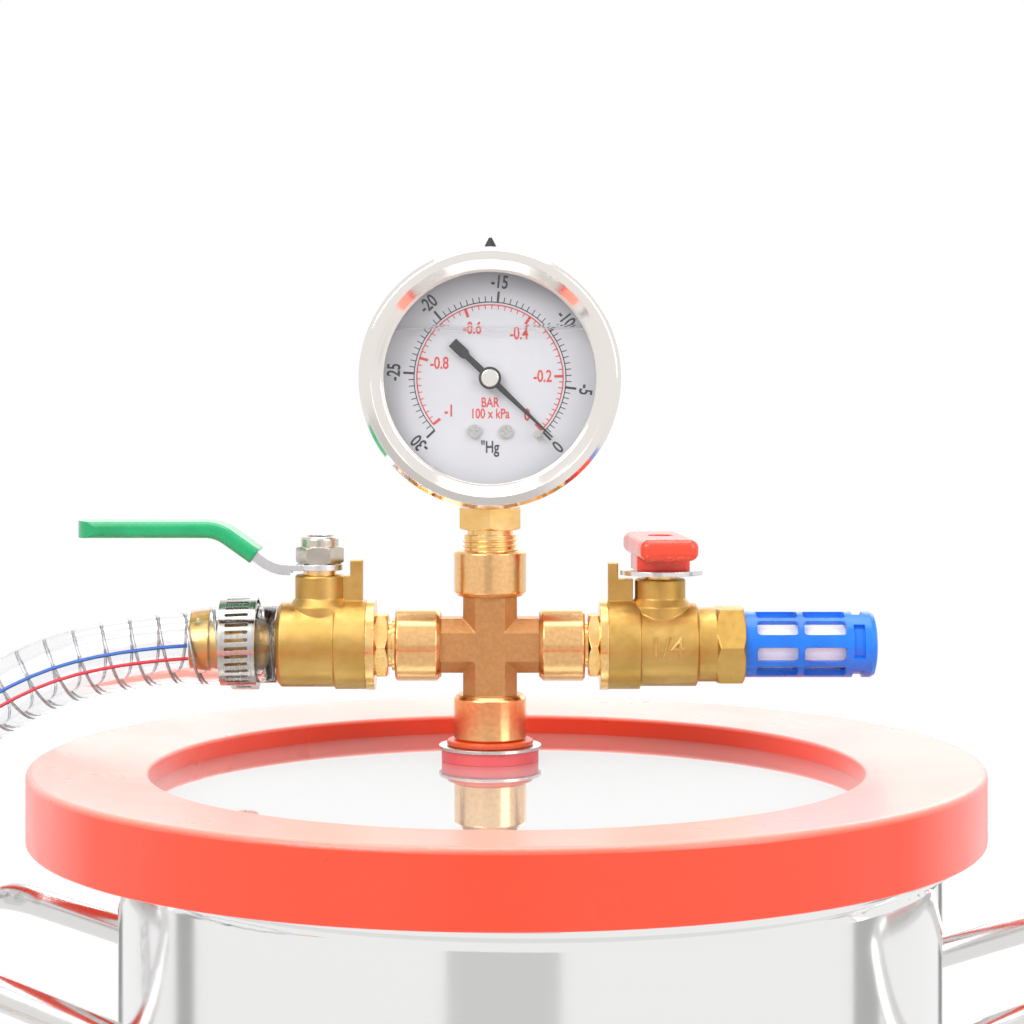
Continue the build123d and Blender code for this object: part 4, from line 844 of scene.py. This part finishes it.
def gauge_thread():
    """Ridge of the pipe thread round the gauge's shank, fading out at both ends."""
    collar_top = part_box("cross")[1][2]
    low = collar_top - THREAD_BELOW
    height = THREAD_BELOW + THREAD_ABOVE
    steps = int(height / THREAD_PITCH * THREAD_STEPS_PER_TURN)
    fading = THREAD_STEPS_PER_TURN / 2
    rings = []
    for i in range(steps + 1):
        angle = 2 * pi * i / THREAD_STEPS_PER_TURN
        rise = THREAD_RISE * min(i, steps - i, fading) / fading
        root, crest = THREAD_R - THREAD_ROOT, THREAD_R + rise
        ring = []
        for reach, up in (
            (root, -THREAD_FLANK),
            (crest, -THREAD_CREST),
            (crest, THREAD_CREST),
            (root, THREAD_FLANK),
        ):
            x, y = port.x + reach * cos(angle), port.y + reach * sin(angle)
            ring.append(Vector((x, y, low + height * i / steps + up)))
        rings.append(ring)
    vertices, faces = rings_mesh(rings)
    return mesh_piece("gauge_thread", vertices, faces, FINISHES["brass_bright"], "lid")


gauge_thread()

# ------------------------------------------------------------------ cast size mark


MARK_AT = 0.0462  # from the port's axis, along the vent valve
MARK_BARREL_R = 0.01095
MARK_SIZE = 0.0074


def size_mark():
    """A plain thread size raised on the vent valve's barrel."""
    curve = letters("1/4", MARK_SIZE)
    curve.offset = 0.00003
    curve.extrude = 0.00035
    curve.bevel_depth = 0.0001
    curve.bevel_resolution = 1
    mesh = mesh_of(curve)
    vertices = []
    for v in mesh.vertices:
        radius = MARK_BARREL_R + v.co.z
        angle = v.co.y / MARK_BARREL_R
        x = port.x + MARK_AT + v.co.x
        y = port.y - radius * cos(angle)
        vertices.append(Vector((x, y, port.z + radius * sin(angle))))
    faces = [tuple(p.vertices) for p in mesh.polygons]
    return mesh_piece("valve_size_mark", vertices, faces, FINISHES["brass_cast"], "lid", False)


size_mark()

# ------------------------------------------------------------------ light and stage


FLOOR_SIZE = 8.0
FLOOR_BELOW = 0.0005  # the floor lies this far under the pot
FLOOR_FADE = (0.34, 0.5)  # distances over which the floor turns white
SOFT_WORLD = 0.6  # the world's light on matt surfaces
AIM = (0.0, 0.0, 0.22)


def stage_plane(name, size, place, turn, material):
    """A flat sheet that isn't part of the object."""
    mesh = bpy.data.meshes.new(name)
    w, h = size[0] / 2, size[1] / 2
    corners = [(-w, -h, 0), (w, -h, 0), (w, h, 0), (-w, h, 0)]
    mesh.from_pydata(corners, [], [(0, 1, 2, 3)])
    mesh.materials.append(material)
    plane = bpy.data.objects.new(name, mesh)
    plane.location = place
    plane.rotation_euler = turn
    bpy.context.scene.collection.objects.link(plane)
    return plane


def floor_material():
    """Pale floor that catches the shadows near the object and fades to white."""
    floor = Finish("floor", (0.9, 0.9, 0.9), 0.0, 0.6)
    floor.shader.inputs["Specular IOR Level"].default_value = 0.1
    place = floor.add("ShaderNodeTexCoord")
    distance = floor.add("ShaderNodeVectorMath", operation="LENGTH")
    floor.link(place.outputs["Object"], distance.inputs[0])
    far = floor.spread(distance.outputs["Value"], 0.0, 1.0, *FLOOR_FADE)
    path = floor.add("ShaderNodeLightPath")
    white = floor.add("ShaderNodeEmission")
    mix = floor.add("ShaderNodeMixShader")
    seen = floor.maths("MULTIPLY", path.outputs["Is Camera Ray"], far)
    glossy, clear = path.outputs["Is Glossy Ray"], path.outputs["Is Transmission Ray"]
    mirrored = floor.maths("MAXIMUM", glossy, clear)
    floor.link(floor.maths("MAXIMUM", seen, mirrored), mix.inputs["Fac"])
    floor.link(floor.shader.outputs["BSDF"], mix.inputs[1])
    floor.link(white.outputs["Emission"], mix.inputs[2])
    floor.link(mix.outputs["Shader"], floor.tree.nodes["Material Output"].inputs["Surface"])
    return floor.material


def card_material(name, level):
    """A card of one brightness, seen only in reflections."""
    card = Finish(name, (0.0, 0.0, 0.0), 0.0, 1.0)
    card.shader.inputs["Specular IOR Level"].default_value = 0.0
    card.shader.inputs["Emission Color"].default_value = (level, level, level, 1.0)
    card.shader.inputs["Emission Strength"].default_value = 1.0
    return card.material


def studio_world():
    """White to the camera and in reflections, softer on matt surfaces."""
    world = bpy.data.worlds.new("studio")
    world.use_nodes = True
    world.cycles.sampling_method = "NONE"
    sky = world.node_tree
    soft = sky.nodes["Background"]
    soft.inputs["Color"].default_value = (1.0, 1.0, 1.0, 1.0)
    soft.inputs["Strength"].default_value = SOFT_WORLD
    white = sky.nodes.new("ShaderNodeBackground")
    white.inputs["Color"].default_value = (1.0, 1.0, 1.0, 1.0)
    white.inputs["Strength"].default_value = 1.0
    ray = sky.nodes.new("ShaderNodeLightPath")
    seen = sky.nodes.new("ShaderNodeMath")
    seen.operation = "SUBTRACT"
    seen.inputs[0].default_value = 1.0
    sky.links.new(ray.outputs["Is Diffuse Ray"], seen.inputs[1])
    either = sky.nodes.new("ShaderNodeMixShader")
    sky.links.new(seen.outputs["Value"], either.inputs["Fac"])
    sky.links.new(soft.outputs["Background"], either.inputs[1])
    sky.links.new(white.outputs["Background"], either.inputs[2])
    sky.links.new(either.outputs["Shader"], sky.nodes["World Output"].inputs["Surface"])
    return world


def softbox(name, place, size, power):
    """A soft rectangular lamp turned to the object."""
    light = bpy.data.lights.new(name, "AREA")
    light.shape = "RECTANGLE"
    light.size, light.size_y = size
    light.energy = power
    lamp = bpy.data.objects.new(name, light)
    lamp.location = place
    toward = Vector(AIM) - Vector(place)
    lamp.rotation_euler = toward.to_track_quat("-Z", "Y").to_euler()
    bpy.context.scene.collection.objects.link(lamp)


def card(name, level, bearing, width, height, distance):
    """A card standing on the floor at a bearing from the front, turned to the object."""
    angle = radians(bearing)
    place = (distance * sin(angle), -distance * cos(angle), height / 2)
    turn = (radians(90), 0.0, angle)
    plane = stage_plane(name, (width, height), place, turn, card_material(name, level))
    plane.visible_camera = False
    plane.visible_diffuse = False
    plane.visible_shadow = False
    plane.visible_transmission = False


bpy.context.scene.world = studio_world()
floor_place = (0.0, 0.0, -FLOOR_BELOW)
stage_plane("floor", (FLOOR_SIZE, FLOOR_SIZE), floor_place, (0.0, 0.0, 0.0), floor_material())

softbox("key", (-0.9, -1.0, 1.3), (1.0, 1.0), 17.0)
softbox("fill", (1.1, -0.9, 0.9), (0.8, 1.2), 9.0)
softbox("top", (0.0, 0.1, 1.6), (1.2, 1.2), 12.0)
softbox("back", (0.2, 1.4, 0.9), (1.6, 0.8), 6.0)

card("card_front", 0.7, bearing=-6.5, width=0.22, height=0.26, distance=0.47)
card("card_right", 0.5, bearing=92.0, width=0.09, height=0.24, distance=0.47)
card("card_left", 0.45, bearing=-97.0, width=0.07, height=0.22, distance=0.5)
card("card_back_right", 0.3, bearing=145.0, width=0.07, height=0.18, distance=0.43)
card("card_back_left", 0.3, bearing=-145.0, width=0.07, height=0.18, distance=0.43)
